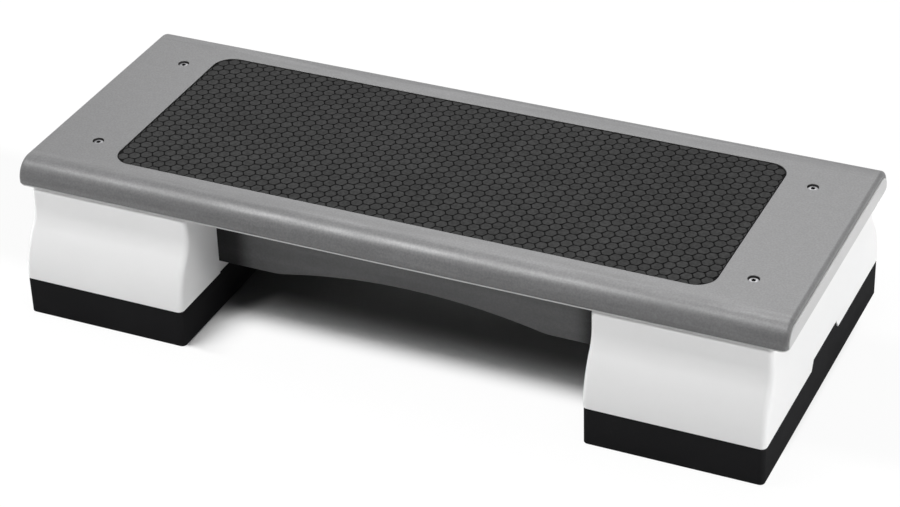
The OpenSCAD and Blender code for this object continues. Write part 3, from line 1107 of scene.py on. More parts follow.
@dataclass
class Board:
    """The foil-wrapped board with its end strips and underside sheet."""

    finishes: Finishes
    nose_r: float = 25 * MM
    foot_r: float = 2 * MM
    roll_r: float = 5 * MM
    corner_r: float = 9 * MM
    recess_gap: float = 0.4 * MM
    recess_r: float = 25 * MM
    lip: float = 0.9 * MM
    seat_r: float = 7 * MM
    seat_h: float = 5 * MM
    seat_lip: float = 0.5 * MM
    shank_r: float = 4.3 * MM
    bolt_hole_r: float = 3.3 * MM
    countersink: float = 3 * MM
    strip_inset: float = 8.6 * MM
    strip_side: float = 6 * MM
    strip_foot_r: float = 4 * MM
    strip_edge: float = 0.9 * MM
    sheet_edge: float = 0.3 * MM

    def __post_init__(self) -> None:
        """Reads the boxes of the board, its sheet and its mat from the frame."""
        self.low, self.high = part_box("deck_board")
        self.sheet_low, self.sheet_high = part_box("underside_sheet")
        self.mat_low, self.mat_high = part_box("tread_mat")

    def section(self, inset: float, side: float, low: float, foot_r: float) -> Outline:
        """The board's outline in Y and Z, drawn in at its noses and its top.

        Args:
            inset: How far the top is drawn in.
            side: How far the noses are drawn in.
            low: Height of its lower edge.
            foot_r: Radius of its lower corners.

        Returns:
            The outline, anticlockwise from its lower right corner.
        """
        foot = arc((self.high.y - side - foot_r, low + foot_r), foot_r, -90, 0, 6)
        nose = [(self.high.y - self.nose_r + (self.nose_r - side) * across,
                 self.high.z - self.nose_r + (self.nose_r - inset) * up)
                for across, up in arc((0.0, 0.0), 1.0, 0, 90, 30)]
        right = foot + nose
        return right + [(-y, z) for y, z in reversed(right)]

    def body(self) -> Piece:
        """The wrapped board with its recess, seats and holes. Its ends are rolled all round.

        Returns:
            The board.
        """
        turned = arc((0.0, 0.0), self.roll_r, 0, 90, 10)
        stations = [(self.high.x - self.roll_r + up, self.roll_r - out) for out, up in turned]
        stations = [(-x, inset) for x, inset in reversed(stations)] + stations
        rings = [[Facing.X.place(p, x)
                  for p in self.section(inset, inset, self.low.z, self.foot_r)]
                 for x, inset in stations]
        made = loft("deck_board_foil", rings)
        gap = self.recess_gap
        recess = rounded_rect((self.mat_low.x - gap, self.mat_low.y - gap),
                              (self.mat_high.x + gap, self.mat_high.y + gap),
                              self.recess_r + gap, steps=16)
        tool = lipped("recess", recess, self.mat_low.z, self.high.z, self.lip)
        return combine(made, [tool] + self.holes())

    def holes(self) -> list[Piece]:
        """Round tools for the screw seats, the shanks and the rail bolts.

        Returns:
            The tools.
        """
        tools = []
        low = self.low.z - OVERRUN
        round_seat = polygon(self.seat_r, TURNED_SIDES)
        for grids, seat_top in ((SCREW_PLACES.deck(), self.high.z),
                                (SCREW_PLACES.hidden(), self.mat_low.z)):
            for grid in grids:
                seat = lipped("seat", round_seat, seat_top - self.seat_h, seat_top, self.seat_lip)
                shank = rod("shank", Vector((0, 0, low)), self.shank_r, seat_top - low)
                tools += [grid.fill(seat), grid.fill(shank)]
        wide_r, top = self.bolt_hole_r + self.countersink, self.mat_low.z
        for grid in SCREW_PLACES.rails():
            cone = lathe("countersink", [(self.bolt_hole_r, low),
                                         (self.bolt_hole_r, top - self.countersink),
                                         (wide_r, top), (wide_r, top + OVERRUN)])
            tools.append(grid.fill(cone))
        return tools

    def strip(self) -> Piece:
        """The light strip on the right-hand end, inside the rolled edge and the foil's border.

        Returns:
            The strip.
        """
        low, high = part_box("right_end_band")
        outline = self.section(self.strip_inset, self.strip_side, low.z, self.strip_foot_r)
        return prism("right_end_strip", outline, low.x, high.x, Facing.X, high_edge=self.strip_edge)

    def sheet(self) -> Piece:
        """The thin sheet glued under the board, with its holes.

        Returns:
            The sheet.
        """
        low, high = self.sheet_low, self.sheet_high
        plan = rounded_rect((low.x, low.y), (high.x, high.y), self.corner_r)
        made = prism("underside_melamine_sheet", plan, low.z, high.z, low_edge=self.sheet_edge)
        foot, length = Vector((0, 0, low.z - OVERRUN)), high.z - low.z + 2 * OVERRUN
        tools = [grid.fill(rod("hole", foot, radius, length))
                 for grids, radius in ((SCREW_PLACES.deck() + SCREW_PLACES.hidden(), self.shank_r),
                                       (SCREW_PLACES.rails(), self.bolt_hole_r))
                 for grid in grids]
        return combine(made, tools)

    def build(self) -> None:
        """Builds and dresses the board's pieces."""
        f = self.finishes
        hand_over(smoothed(self.body()), Body.PLATFORM, f.get(f.foil),
                  "deck_board")
        hand_over(smoothed(self.sheet()), Body.PLATFORM, f.get(f.sheet),
                  "underside_sheet")
        hand_over_pair(smoothed(self.strip()), "left_end_strip", f.get(f.strip),
                       ("right_end_band", "left_end_band"))


@lru_cache(maxsize=None)
def tread_tree() -> Group:
    """A geometry tree that covers a rounded slab with hexagon cells.

    Returns:
        The tree. Its sizes are inputs, and the slab comes in as its geometry.
    """
    t, given = open_group("tread_cells", "GeometryNodeTree", {
        "Slab": "Geometry", "Length": 0.768, "Depth": 0.286, "Corner": 0.025, "Pitch": 0.0142,
        "Column pitch": 0.0125, "Groove": 0.0013, "Bevel": 0.0003, "Floor": 0.198, "Top": 0.199,
        "Corner turn": 8.0, "Seed": 7, "Finish": "Material"}, {"Geometry": "Geometry"})
    half = [t.math("DIVIDE", given[name], 2.0) for name in ("Length", "Depth")]
    spots = cell_spots(t, given, half)
    cell = hexagon_cell(t, given)
    placed = t.node("GeometryNodeInstanceOnPoints", {"Points": spots, "Instance": cell}).outputs[0]
    random = t.node("FunctionNodeRandomValue", {"Seed": given["Seed"]}, data_type="FLOAT")
    tone = next(socket for socket in random.outputs if socket.enabled)
    toned = t.node("GeometryNodeStoreNamedAttribute", {
        "Geometry": placed, "Name": CELL_TONE, "Value": tone}, data_type="FLOAT",
        domain="INSTANCE").outputs[0]
    real = t.node("GeometryNodeRealizeInstances", {0: toned}).outputs[0]
    inside = drawn_into_outline(t, given, half, real)
    merged = t.node("GeometryNodeMergeByDistance", {"Geometry": inside, "Distance": WELD})
    joined = t.node("GeometryNodeJoinGeometry")
    for part in (merged.outputs[0], given["Slab"]):
        t.feed(joined.inputs[0], part)
    return close_geometry(t, joined.outputs[0], given["Finish"])


def cell_spots(t: Tree, given: Sockets, half: list[Socket]) -> Socket:
    """The points where cells stand: staggered columns about a middle cell, none far outside.

    Args:
        t: The tree.
        given: The group's inputs.
        half: Half of the mat's length and depth.

    Returns:
        The points.
    """
    pitches = given["Column pitch"], given["Pitch"]
    middle = [t.math("ADD", t.math("CEIL", t.math("DIVIDE", h, pitch)), 1.0)
              for h, pitch in zip(half, pitches)]
    numbers = [t.math("MULTIPLY_ADD", m, 2.0, 1.0) for m in middle]
    index = t.node("GeometryNodeInputIndex").outputs[0]
    row = t.math("SUBTRACT", t.math("MODULO", index, numbers[1]), middle[1])
    column = t.math("SUBTRACT", t.math("FLOOR", t.math("DIVIDE", index, numbers[1])), middle[0])
    stagger = t.math("MULTIPLY", t.math("MODULO", t.math("ABSOLUTE", column), 2.0), 0.5)
    x = t.math("MULTIPLY", column, pitches[0])
    y = t.math("MULTIPLY", t.math("ADD", row, stagger), pitches[1])
    points = t.node("GeometryNodePoints", {"Count": t.math("MULTIPLY", *numbers),
                                           "Position": t.vector(x, y, given["Floor"])}).outputs[0]
    place = t.position()
    over = [t.math("MAXIMUM", t.math("ADD", t.math("SUBTRACT", t.math("ABSOLUTE", p), h),
                                     given["Corner"]), 0.0) for p, h in zip(place, half)]
    reach = t.math("SQRT", t.math("ADD", *[t.math("MULTIPLY", o, o) for o in over]))
    limit = t.math("ADD", given["Corner"], t.math("MULTIPLY", given["Pitch"], CELL_REACH))
    far = t.math("GREATER_THAN", reach, limit)
    return t.node("GeometryNodeDeleteGeometry", {"Geometry": points, "Selection": far}).outputs[0]


def hexagon_cell(t: Tree, given: Sockets) -> Socket:
    """One hexagon cell with blunt corners and a bevelled top, standing on its floor.

    Args:
        t: The tree.
        given: The group's inputs.

    Returns:
        The cell's mesh.
    """
    height = t.math("SUBTRACT", given["Top"], given["Floor"])
    drum = t.node("GeometryNodeMeshCylinder", {"Vertices": 12, "Side Segments": 2, "Radius": 1.0,
                                               "Depth": 2.0}).outputs[0]
    x, y, z = t.position()
    sixth = math.pi / 3
    turned = t.math("DIVIDE", t.math("ARCTAN2", y, x), sixth / 2)
    twelfth = t.math("FLOOR", t.math("ADD", turned, 0.5))
    sector = t.math("FLOOR", t.math("DIVIDE", twelfth, 2.0))
    odd = t.math("SUBTRACT", twelfth, t.math("MULTIPLY", sector, 2.0))
    blunt = t.math("RADIANS", given["Corner turn"])
    way = t.math("SUBTRACT", t.math("MULTIPLY", odd, 2.0), 1.0)
    angle = t.math("ADD", t.math("MULTIPLY", sector, sixth), t.math("MULTIPLY", way, blunt))
    upper = t.math("GREATER_THAN", z, 0.5)
    foot = t.math("DIVIDE", t.math("SUBTRACT", given["Pitch"], given["Groove"]), 2.0)
    apothem = t.math("SUBTRACT", foot, t.math("MULTIPLY", upper, given["Bevel"]))
    radius = t.math("DIVIDE", apothem, t.math("COSINE", t.math("SUBTRACT", sixth / 2, blunt)))
    lower = t.math("LESS_THAN", z, -0.5)
    middle = t.math("SUBTRACT", t.math("SUBTRACT", 1.0, upper), lower)
    level = t.math("SUBTRACT", t.math("MULTIPLY", t.math("ADD", upper, middle), height),
                   t.math("MULTIPLY", middle, given["Bevel"]))
    spot = t.vector(t.math("MULTIPLY", radius, t.math("COSINE", angle)),
                    t.math("MULTIPLY", radius, t.math("SINE", angle)), level)
    return t.node("GeometryNodeSetPosition", {"Geometry": drum, "Position": spot}).outputs[0]


def drawn_into_outline(t: Tree, given: Sockets, half: list[Socket], mesh: Socket) -> Socket:
    """Moves what lies outside the mat's rounded outline onto it, tops a bevel further in.

    Args:
        t: The tree.
        given: The group's inputs.
        half: Half of the mat's length and depth.
        mesh: The cells.

    Returns:
        The cells, cut off at the outline.
    """
    place = t.position()
    edge = t.math("SUBTRACT", given["Top"], t.math("MULTIPLY", given["Bevel"], 0.5))
    inset = t.math("MULTIPLY", t.math("GREATER_THAN", place[2], edge), given["Bevel"])
    straight = [t.math("SUBTRACT", h, given["Corner"]) for h in half]
    nearest = [t.math("MAXIMUM", t.math("MINIMUM", p, s), t.math("MULTIPLY", s, -1.0))
               for p, s in zip(place, straight)]
    away = [t.math("SUBTRACT", p, n) for p, n in zip(place, nearest)]
    distance = t.math("SQRT", t.math("ADD", *[t.math("MULTIPLY", a, a) for a in away]))
    allowed = t.math("SUBTRACT", given["Corner"], inset)
    share = t.math("MINIMUM", t.math("DIVIDE", allowed, t.math("MAXIMUM", distance, 1e-6)), 1.0)
    moved = [t.math("ADD", n, t.math("MULTIPLY", a, share)) for n, a in zip(nearest, away)]
    return t.node("GeometryNodeSetPosition", {
        "Geometry": mesh, "Position": t.vector(*moved, place[2])}).outputs[0]


@dataclass
class TreadMat:
    """The rubber mat: a slab that carries staggered hexagon cells."""

    finishes: Finishes
    corner: float = 25 * MM
    pitch: float = 14.23 * MM
    column_pitch: float = 12.51 * MM
    groove: float = 1.3 * MM
    bevel: float = 0.3 * MM
    groove_depth: float = 1.3 * MM
    rim: float = 0.75 * MM
    rooted: float = 0.2 * MM
    slab_edge: float = 0.2 * MM
    seed: int = 7

    def build(self) -> None:
        """Builds the slab, grows the cells on it and dresses it."""
        low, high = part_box("tread_mat")
        floor = high.z - self.groove_depth
        outline = rounded_rect((low.x, low.y), (high.x, high.y), self.corner, steps=12)
        slab = prism("tread_mat_hexagons", outline, low.z, floor, high_edge=self.slab_edge, steps=1)
        f = self.finishes
        material = f.get(f.rubber)
        made = run_tree(slab, tread_tree(), Length=high.x - low.x - 2 * self.rim,
                        Depth=high.y - low.y - 2 * self.rim, Corner=self.corner - self.rim,
                        Pitch=self.pitch, Column_pitch=self.column_pitch, Groove=self.groove,
                        Bevel=self.bevel, Floor=floor - self.rooted, Top=high.z, Seed=self.seed,
                        Finish=material)
        made.data.polygons.foreach_set("use_smooth", [False] * len(made.data.polygons))
        hand_over(made, Body.PLATFORM, material, "tread_mat")


@dataclass
class Fasteners:
    """Screws, bolts and inserts that hold the platform together."""

    finishes: Finishes
    thread_r: float = 4 * MM
    thread_pitch: float = 1.25 * MM
    thread_l: float = 22 * MM
    run_out: float = 0.5 * MM
    head_r: float = 6 * MM
    head_h: float = 3.1 * MM
    head_edge: float = 0.7 * MM
    head_rise: float = 0.25 * MM
    seat_edge: float = 0.3 * MM
    seat_h: float = 5 * MM
    socket: float = 5 * MM
    socket_h: float = 3 * MM
    socket_mouth: float = 0.3 * MM
    screw_l: float = 50 * MM
    bolt_r: float = 3 * MM
    bolt_thread_pitch: float = 1 * MM
    bolt_head_r: float = 6 * MM
    bolt_edge: float = 0.1 * MM
    bolt_socket: float = 4 * MM
    bolt_socket_h: float = 2.5 * MM
    bolt_l: float = 70 * MM

    def crown(self) -> Outline:
        """The screw head's rounded edge and its nearly flat crown."""
        edge = arc((self.head_r - self.head_edge, self.head_h - self.head_edge - self.head_rise),
                   self.head_edge, 0, 90, 4)
        return edge + [(self.head_r * 0.5, self.head_h - self.head_rise * 0.4),
                       (0.2 * MM, self.head_h)]

    def threads(self, radius: float, length: float, pitch: float) -> Outline:
        """The profile of a shank with V-shaped turns at its tip, from below up to its plain part.

        Args:
            radius: Radius of the shank.
            length: Length of the shank, which ends at the origin.
            pitch: Height of one turn.

        Returns:
            The profile's points.
        """
        depth, low = pitch / 2, -length
        profile = [(radius - depth, low)]
        for i in range(int(self.thread_l / pitch)):
            profile += [(radius, low + (i + 0.5) * pitch), (radius - depth, low + (i + 1) * pitch)]
        return profile + [(radius, low + self.thread_l + self.run_out)]

    def screw(self) -> Piece:
        """A flat-headed screw with a hexagon socket, its seat at the origin.

        Returns:
            The screw.
        """
        profile = self.threads(self.thread_r, self.screw_l, self.thread_pitch)
        profile += [(self.thread_r, 0.0), (self.head_r - self.seat_edge, 0.0),
                    (self.head_r, self.seat_edge)]
        made = lathe("screw", profile + self.crown())
        return self.socketed(made, self.socket, self.socket_h, self.head_h)

    def bolt(self) -> Piece:
        """A countersunk bolt with a hexagon socket, its face at the origin.

        Returns:
            The bolt.
        """
        profile = self.threads(self.bolt_r, self.bolt_l, self.bolt_thread_pitch)
        profile += [(self.bolt_r, self.bolt_r - self.bolt_head_r),
                    (self.bolt_head_r - self.bolt_edge, -self.bolt_edge),
                    (self.bolt_head_r - 2 * self.bolt_edge, 0.0)]
        return self.socketed(lathe("bolt", profile), self.bolt_socket, self.bolt_socket_h, 0.0)

    def socketed(self, piece: Piece, width: float, depth: float, top: float) -> Piece:
        """Cuts the socket into a head and marks the faces in it, where the finish paints shade.

        Args:
            piece: The screw or bolt.
            width: Width of its hexagon socket across the flats.
            depth: Depth of the socket.
            top: Height of the head's face.

        Returns:
            The same piece, shaded smooth.
        """
        hexagon = polygon(width / math.sqrt(3), 6)
        smoothed(combine(piece, [prism("socket", hexagon, top - depth, top + OVERRUN)]))
        marks = piece.data.attributes.new(SOCKET_SHADE_MARK, "FLOAT", "FACE")
        for face in piece.data.polygons:
            near = math.hypot(face.center.x, face.center.y) < width / 2 + WELD
            sunk = top - depth - OVERRUN < face.center.z < top - self.socket_mouth
            marks.data[face.index].value = 1.0 if near and sunk else 0.0
        return piece

    def place(self, piece: Piece, name: str, grid: Grid, z: float, node: str) -> None:
        """Sets copies of a piece down on a grid at a height, in place of a node.

        Args:
            piece: The screw or bolt, which stays as it is.
            name: Name of the new object.
            grid: The places, from above.
            z: Height of each copy's origin.
            node: The CAD node.
        """
        material = self.finishes.get(self.finishes.steel)
        made = new_object(name, piece.data.copy())
        x, y, _ = grid.middle
        replace(grid, middle=(x, y, z)).fill(made, material)
        hand_over(made, Body.PLATFORM, material, node)

    def build(self) -> None:
        """Builds one screw and one bolt, and sets them down where they belong."""
        screw, bolt = self.screw(), self.bolt()
        surface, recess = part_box("deck_board")[1].z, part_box("tread_mat")[0].z
        for side, deck, hidden in zip(Side, SCREW_PLACES.deck(), SCREW_PLACES.hidden()):
            self.place(screw, f"{side.word}_flat_screws", deck, surface - self.seat_h,
                       f"{side.word}_deck_screws")
            self.place(screw, f"{side.word}_covered_screws", hidden, recess - self.seat_h,
                       f"{side.word}_hidden_screws")
        for end, rail in zip(("front", "back"), SCREW_PLACES.rails()):
            self.place(bolt, f"{end}_countersunk_bolts", rail, recess, f"{end}_rail_bolts")
        drop(screw, bolt)
        f = self.finishes
        for side in Side:
            dress_node(f"{side.word}_leg_inserts", f.get(f.brass))
        for end in ("front", "back"):
            dress_node(f"{end}_rail_nuts", f.get(f.steel))


@dataclass
class Leg:
    """A moulded leg: a hollow shell that flares to the front and the back.

    The right-hand leg is built, and the left-hand one is its mirror image.
    """

    finishes: Finishes
    draft: float = 4.5 * MM
    waist_depth: float = 376.5 * MM
    flare_h: float = 89 * MM
    waist_r: float = 47 * MM
    corner_r: float = 7 * MM
    top_r: float = 7 * MM
    foot_r: float = 0.6 * MM
    wall: float = 4 * MM
    plate: float = 5 * MM
    pocket: float = 2 * MM
    pocket_half: float = 118.3 * MM
    rib: float = 3 * MM
    rib_lift: float = 28 * MM
    boss_r: float = 11 * MM
    boss_l: float = 38 * MM
    insert_r: float = 5.6 * MM
    insert_l: float = 20 * MM
    post_r: float = 14 * MM
    post_out: float = 85 * MM
    post_y: float = 160 * MM
    stem_r: float = 4.1 * MM
    stem_l: float = 10.2 * MM
    stem_gap: float = 0.1 * MM
    stem_tip: tuple[float, float] = (1 * MM, 0.2 * MM)
    pad_edge: float = 0.1 * MM
    pad_bevel: float = 0.4 * MM
    pad_hollow: tuple[Point2, Point2] = ((3 * MM, 0.3 * MM), (2.6 * MM, 0.0))
    notch_half: float = 51 * MM
    notch_top_half: float = 43 * MM
    notch_h: float = 12 * MM
    belly_steps: int = 14
    waist_steps: int = 10

    def __post_init__(self) -> None:
        """Reads the leg's box from the frame and works out its posts and the flare's bends."""
        self.low, self.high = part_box("right_leg")
        self.mid_x = (self.low.x + self.high.x) / 2
        self.posts = Grid(2, 2, 2 * self.post_out, 2 * self.post_y, (self.mid_x, 0.0, 0.0))
        self.span = self.high.z - self.low.z
        drop_in = self.high.y - self.waist_depth / 2
        self.flare_angle = 2 * math.atan(drop_in / self.flare_h)
        self.belly_r = self.flare_h / math.sin(self.flare_angle) - self.waist_r
        self.ceiling = self.high.z - self.plate

    def half_depth(self, up: float) -> float:
        """Half of the leg's depth at a height above its foot: a belly that bends to a waist.

        Args:
            up: Height above the foot.

        Returns:
            Half of the depth there.
        """
        belly_end = self.belly_r * math.sin(self.flare_angle)
        if up <= 0:
            return self.high.y
        if up <= belly_end:
            return self.high.y - self.belly_r + math.sqrt(self.belly_r**2 - up**2)
        waist = self.waist_depth / 2
        if up < self.flare_h:
            return waist + self.waist_r - math.sqrt(self.waist_r**2 - (self.flare_h - up) ** 2)
        return waist

    def outer_x(self, up: float) -> float:
        """Place of the drafted outer face at a height above the foot."""
        return self.high.x - self.draft * max(up, 0.0) / self.span

    def ring(self, up: float, inset: float, walls: tuple[float, float, float], radius: float,
             steps: int) -> list[Vector]:
        """One level of the shell.

        Args:
            up: Height above the foot.
            inset: How far every face is drawn in.
            walls: Thickness taken off at the inner, the outer and the front and back faces.
            radius: Corner radius.
            steps: Chords in each corner.

        Returns:
            The ring's points.
        """
        half = self.half_depth(up) - walls[2] - inset
        low = (self.low.x + walls[0] + inset, -half)
        high = (self.outer_x(up) - walls[1] - inset, half)
        return [Vector((x, y, self.low.z + up)) for x, y in rounded_rect(low, high, radius, steps)]

    def flare_levels(self) -> list[float]:
        """Heights above the foot where the flare bends.

        Returns:
            The heights, from the foot upwards.
        """
        belly = [self.belly_r * math.sin(self.flare_angle * i / self.belly_steps)
                 for i in range(self.belly_steps + 1)]
        left = [self.flare_angle * (1 - i / self.waist_steps) for i in range(self.waist_steps + 1)]
        waist = [self.flare_h - self.waist_r * math.sin(angle) for angle in left[1:]]
        return belly + waist

    def outer(self) -> Piece:
        """The leg's outer form, with a rounded top edge and a broken foot edge.

        Returns:
            The solid form.
        """
        levels = [(self.foot_r - out, self.foot_r - up)
                  for out, up in arc((0.0, 0.0), self.foot_r, 0, 60, 2)]
        levels += [(max(up, self.foot_r), 0.0) for up in self.flare_levels()]
        levels += [(self.span - self.top_r + up, self.top_r - out)
                   for out, up in arc((0.0, 0.0), self.top_r, 0, 90, 8)]
        rings = [self.ring(up, inset, (0.0, 0.0, 0.0), self.corner_r, 8) for up, inset in levels]
        return loft("right_leg_shell", rings)

    def hollow(self) -> Piece:
        """The leg's hollow, less the ribs, bosses and posts that stand in it.

        Returns:
            The tool for the hollow.
        """
        walls = (self.wall + self.pocket, self.wall, self.wall)
        ups = [-OVERRUN] + self.flare_levels() + [self.ceiling - self.low.z]
        made = loft("hollow", [self.ring(up, 0.0, walls, self.corner_r - self.wall / 2, 4)
                               for up in ups])
        return combine(made, self.inside())

    def inside(self) -> list[Piece]:
        """Tools in the shape of the ribs, bosses and posts.

        Returns:
            The tools.
        """
        above = self.high.z + OVERRUN
        rib_z = self.low.z + self.rib_lift
        rib = block("rib", (-self.rib / 2, -self.high.y, rib_z), (self.rib / 2, self.high.y, above))
        boss = rod("boss", Vector((0, 0, self.ceiling - self.boss_l)), self.boss_r,
                   self.boss_l + OVERRUN)
        post = rod("post", Vector((0, 0, self.low.z - 2 * OVERRUN)), self.post_r,
                   self.span + OVERRUN)
        tools = [SCREW_PLACES.leg(1).fill(rib), SCREW_PLACES.leg().fill(boss),
                 self.posts.fill(post)]
        for start, end in ((self.low.x, self.mid_x - self.post_out),
                           (self.mid_x + self.post_out, self.high.x)):
            web = block("web", (start, -self.rib / 2, rib_z), (end, self.rib / 2, above))
            tools.append(Grid(1, 2, 0.0, 2 * self.post_y).fill(web))
        return tools

    def openings(self) -> list[Piece]:
        """Tools for the rail pocket, the notch and the bores.

        Returns:
            The tools.
        """
        below, above = self.low.z - OVERRUN, self.high.z + OVERRUN
        pocket = block("pocket", (self.low.x - OVERRUN, -self.pocket_half, below),
                       (self.low.x + self.pocket, self.pocket_half, above))
        w, top, peak = self.notch_half, self.notch_top_half, self.low.z + self.notch_h
        outline = [(-w, below), (w, below), (w, self.low.z), (top, peak), (-top, peak),
                   (-w, self.low.z)]
        notch = prism("notch", outline, self.high.x - 2 * self.wall, self.high.x + OVERRUN,
                      Facing.X)
        insert = rod("insert", Vector((0, 0, self.high.z - self.insert_l)), self.insert_r,
                     self.insert_l + OVERRUN)
        stem = rod("stem", Vector((0, 0, below)), self.stem_r, self.stem_l + OVERRUN)
        return [pocket, notch, SCREW_PLACES.leg().fill(insert), self.posts.fill(stem)]

    def soft_feet(self, name: str, bevel: float, hollow: Sequence[Point2], low: float,
                  seat: float, left: float) -> Piece:
        """Four soft feet, one under each post, with stems up into the posts.

        Args:
            name: Name of the new object.
            bevel: Width of the bevel round the foot's tread.
            hollow: The tread's hollow: how far in from the foot's side, and how high.
            low: Height of the tread.
            seat: Height of the foot's upper face.
            left: Where the left-hand feet begin in X.

        Returns:
            The new object.
        """
        radius = self.mid_x - self.post_out - left
        stem_r, stem_top = self.stem_r - self.stem_gap, seat + self.stem_l
        tip, tip_gap = self.stem_tip
        profile = [(radius - inward, low + up) for inward, up in hollow]
        profile += [(radius - bevel, low), (radius, low + bevel), (radius, seat - self.pad_edge),
                    (radius - self.pad_edge, seat), (stem_r, seat), (stem_r, stem_top - tip),
                    (self.stem_r - tip, stem_top - tip_gap)]
        return self.posts.fill(smoothed(lathe(name, profile)))

    def pads(self) -> Piece:
        """The rubber pads that the leg stands on when its riser is off.

        Returns:
            The four pads.
        """
        low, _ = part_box("right_leg_pads")
        return self.soft_feet("right_leg_soft_pads", self.pad_bevel, self.pad_hollow, low.z,
                              self.low.z, low.x)

    def build(self) -> None:
        """Builds and dresses both legs and their pads."""
        f = self.finishes
        shell = smoothed(combine(self.outer(), [self.hollow(), *self.openings()]))
        pads = self.pads()
        hand_over_pair(shell, "left_leg_shell", f.get(f.white),
                       ("right_leg", "left_leg"))
        hand_over_pair(pads, "left_leg_soft_pads", f.get(f.foot),
                       ("right_leg_pads", "left_leg_pads"))


@dataclass
class Rail:
    """A board on edge between the legs, with an arched lower edge."""

    finishes: Finishes
    arch_half: float = 175 * MM
    arch_rise: float = 19.5 * MM
    ease_r: float = 60 * MM
    edge: float = 0.8 * MM
    nut_r: float = 5.2 * MM
    nut_l: float = 16 * MM
    nut_drop: float = 30 * MM
    bolt_hole_r: float = 3.3 * MM

    def outline(self, low: Vector, high: Vector) -> Outline:
        """The rail's outline in X and Z, anticlockwise from its lower right corner.

        Args:
            low: Lowest corner of the rail's box.
            high: Highest corner.

        Returns:
            The outline.
        """
        arch_r = (self.arch_half**2 + self.arch_rise**2) / (2 * self.arch_rise)
        arch_z = low.z + self.arch_rise - arch_r
        ease_z = low.z + self.ease_r
        ease_x = math.sqrt((arch_r + self.ease_r) ** 2 - (ease_z - arch_z) ** 2)
        tilt = math.degrees(math.atan2(ease_z - arch_z, ease_x))
        left = arc((-ease_x, ease_z), self.ease_r, -90.0, -tilt, 6)
        crown = arc((0.0, arch_z), arch_r, 180.0 - tilt, tilt, 40)
        right = [(-x, z) for x, z in reversed(left)]
        lower = [(low.x, low.z)] + left + crown[1:-1] + right + [(high.x, low.z)]
        return lower + [(high.x, high.z), (low.x, high.z)]

    def front(self) -> Piece:
        """The front rail with its bolt and nut holes.

        Returns:
            The rail.
        """
        low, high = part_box("front_rail")
        made = prism("front_rail_board", self.outline(low, high), low.y, high.y, Facing.Y,
                     low_edge=self.edge, high_edge=self.edge)
        grid = SCREW_PLACES.rails()[0]
        bolt_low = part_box("front_rail_bolts")[0].z - OVERRUN
        bolt = rod("bolt_hole", Vector((0, 0, bolt_low)), self.bolt_hole_r,
                   high.z - bolt_low + OVERRUN)
        nut_y = high.y - grid.middle[1] - self.nut_l - OVERRUN
        nut = rod("nut_hole", Vector((0, nut_y, high.z - self.nut_drop)), self.nut_r,
                  self.nut_l + 2 * OVERRUN, Facing.Y)
        return combine(made, [grid.fill(bolt), grid.fill(nut)])

    def build(self) -> None:
        """Builds and dresses both rails."""
        f = self.finishes
        hand_over_pair(smoothed(self.front()), "back_rail_board",
                       f.get(f.rail_foil), ("front_rail", "back_rail"), axis=1)


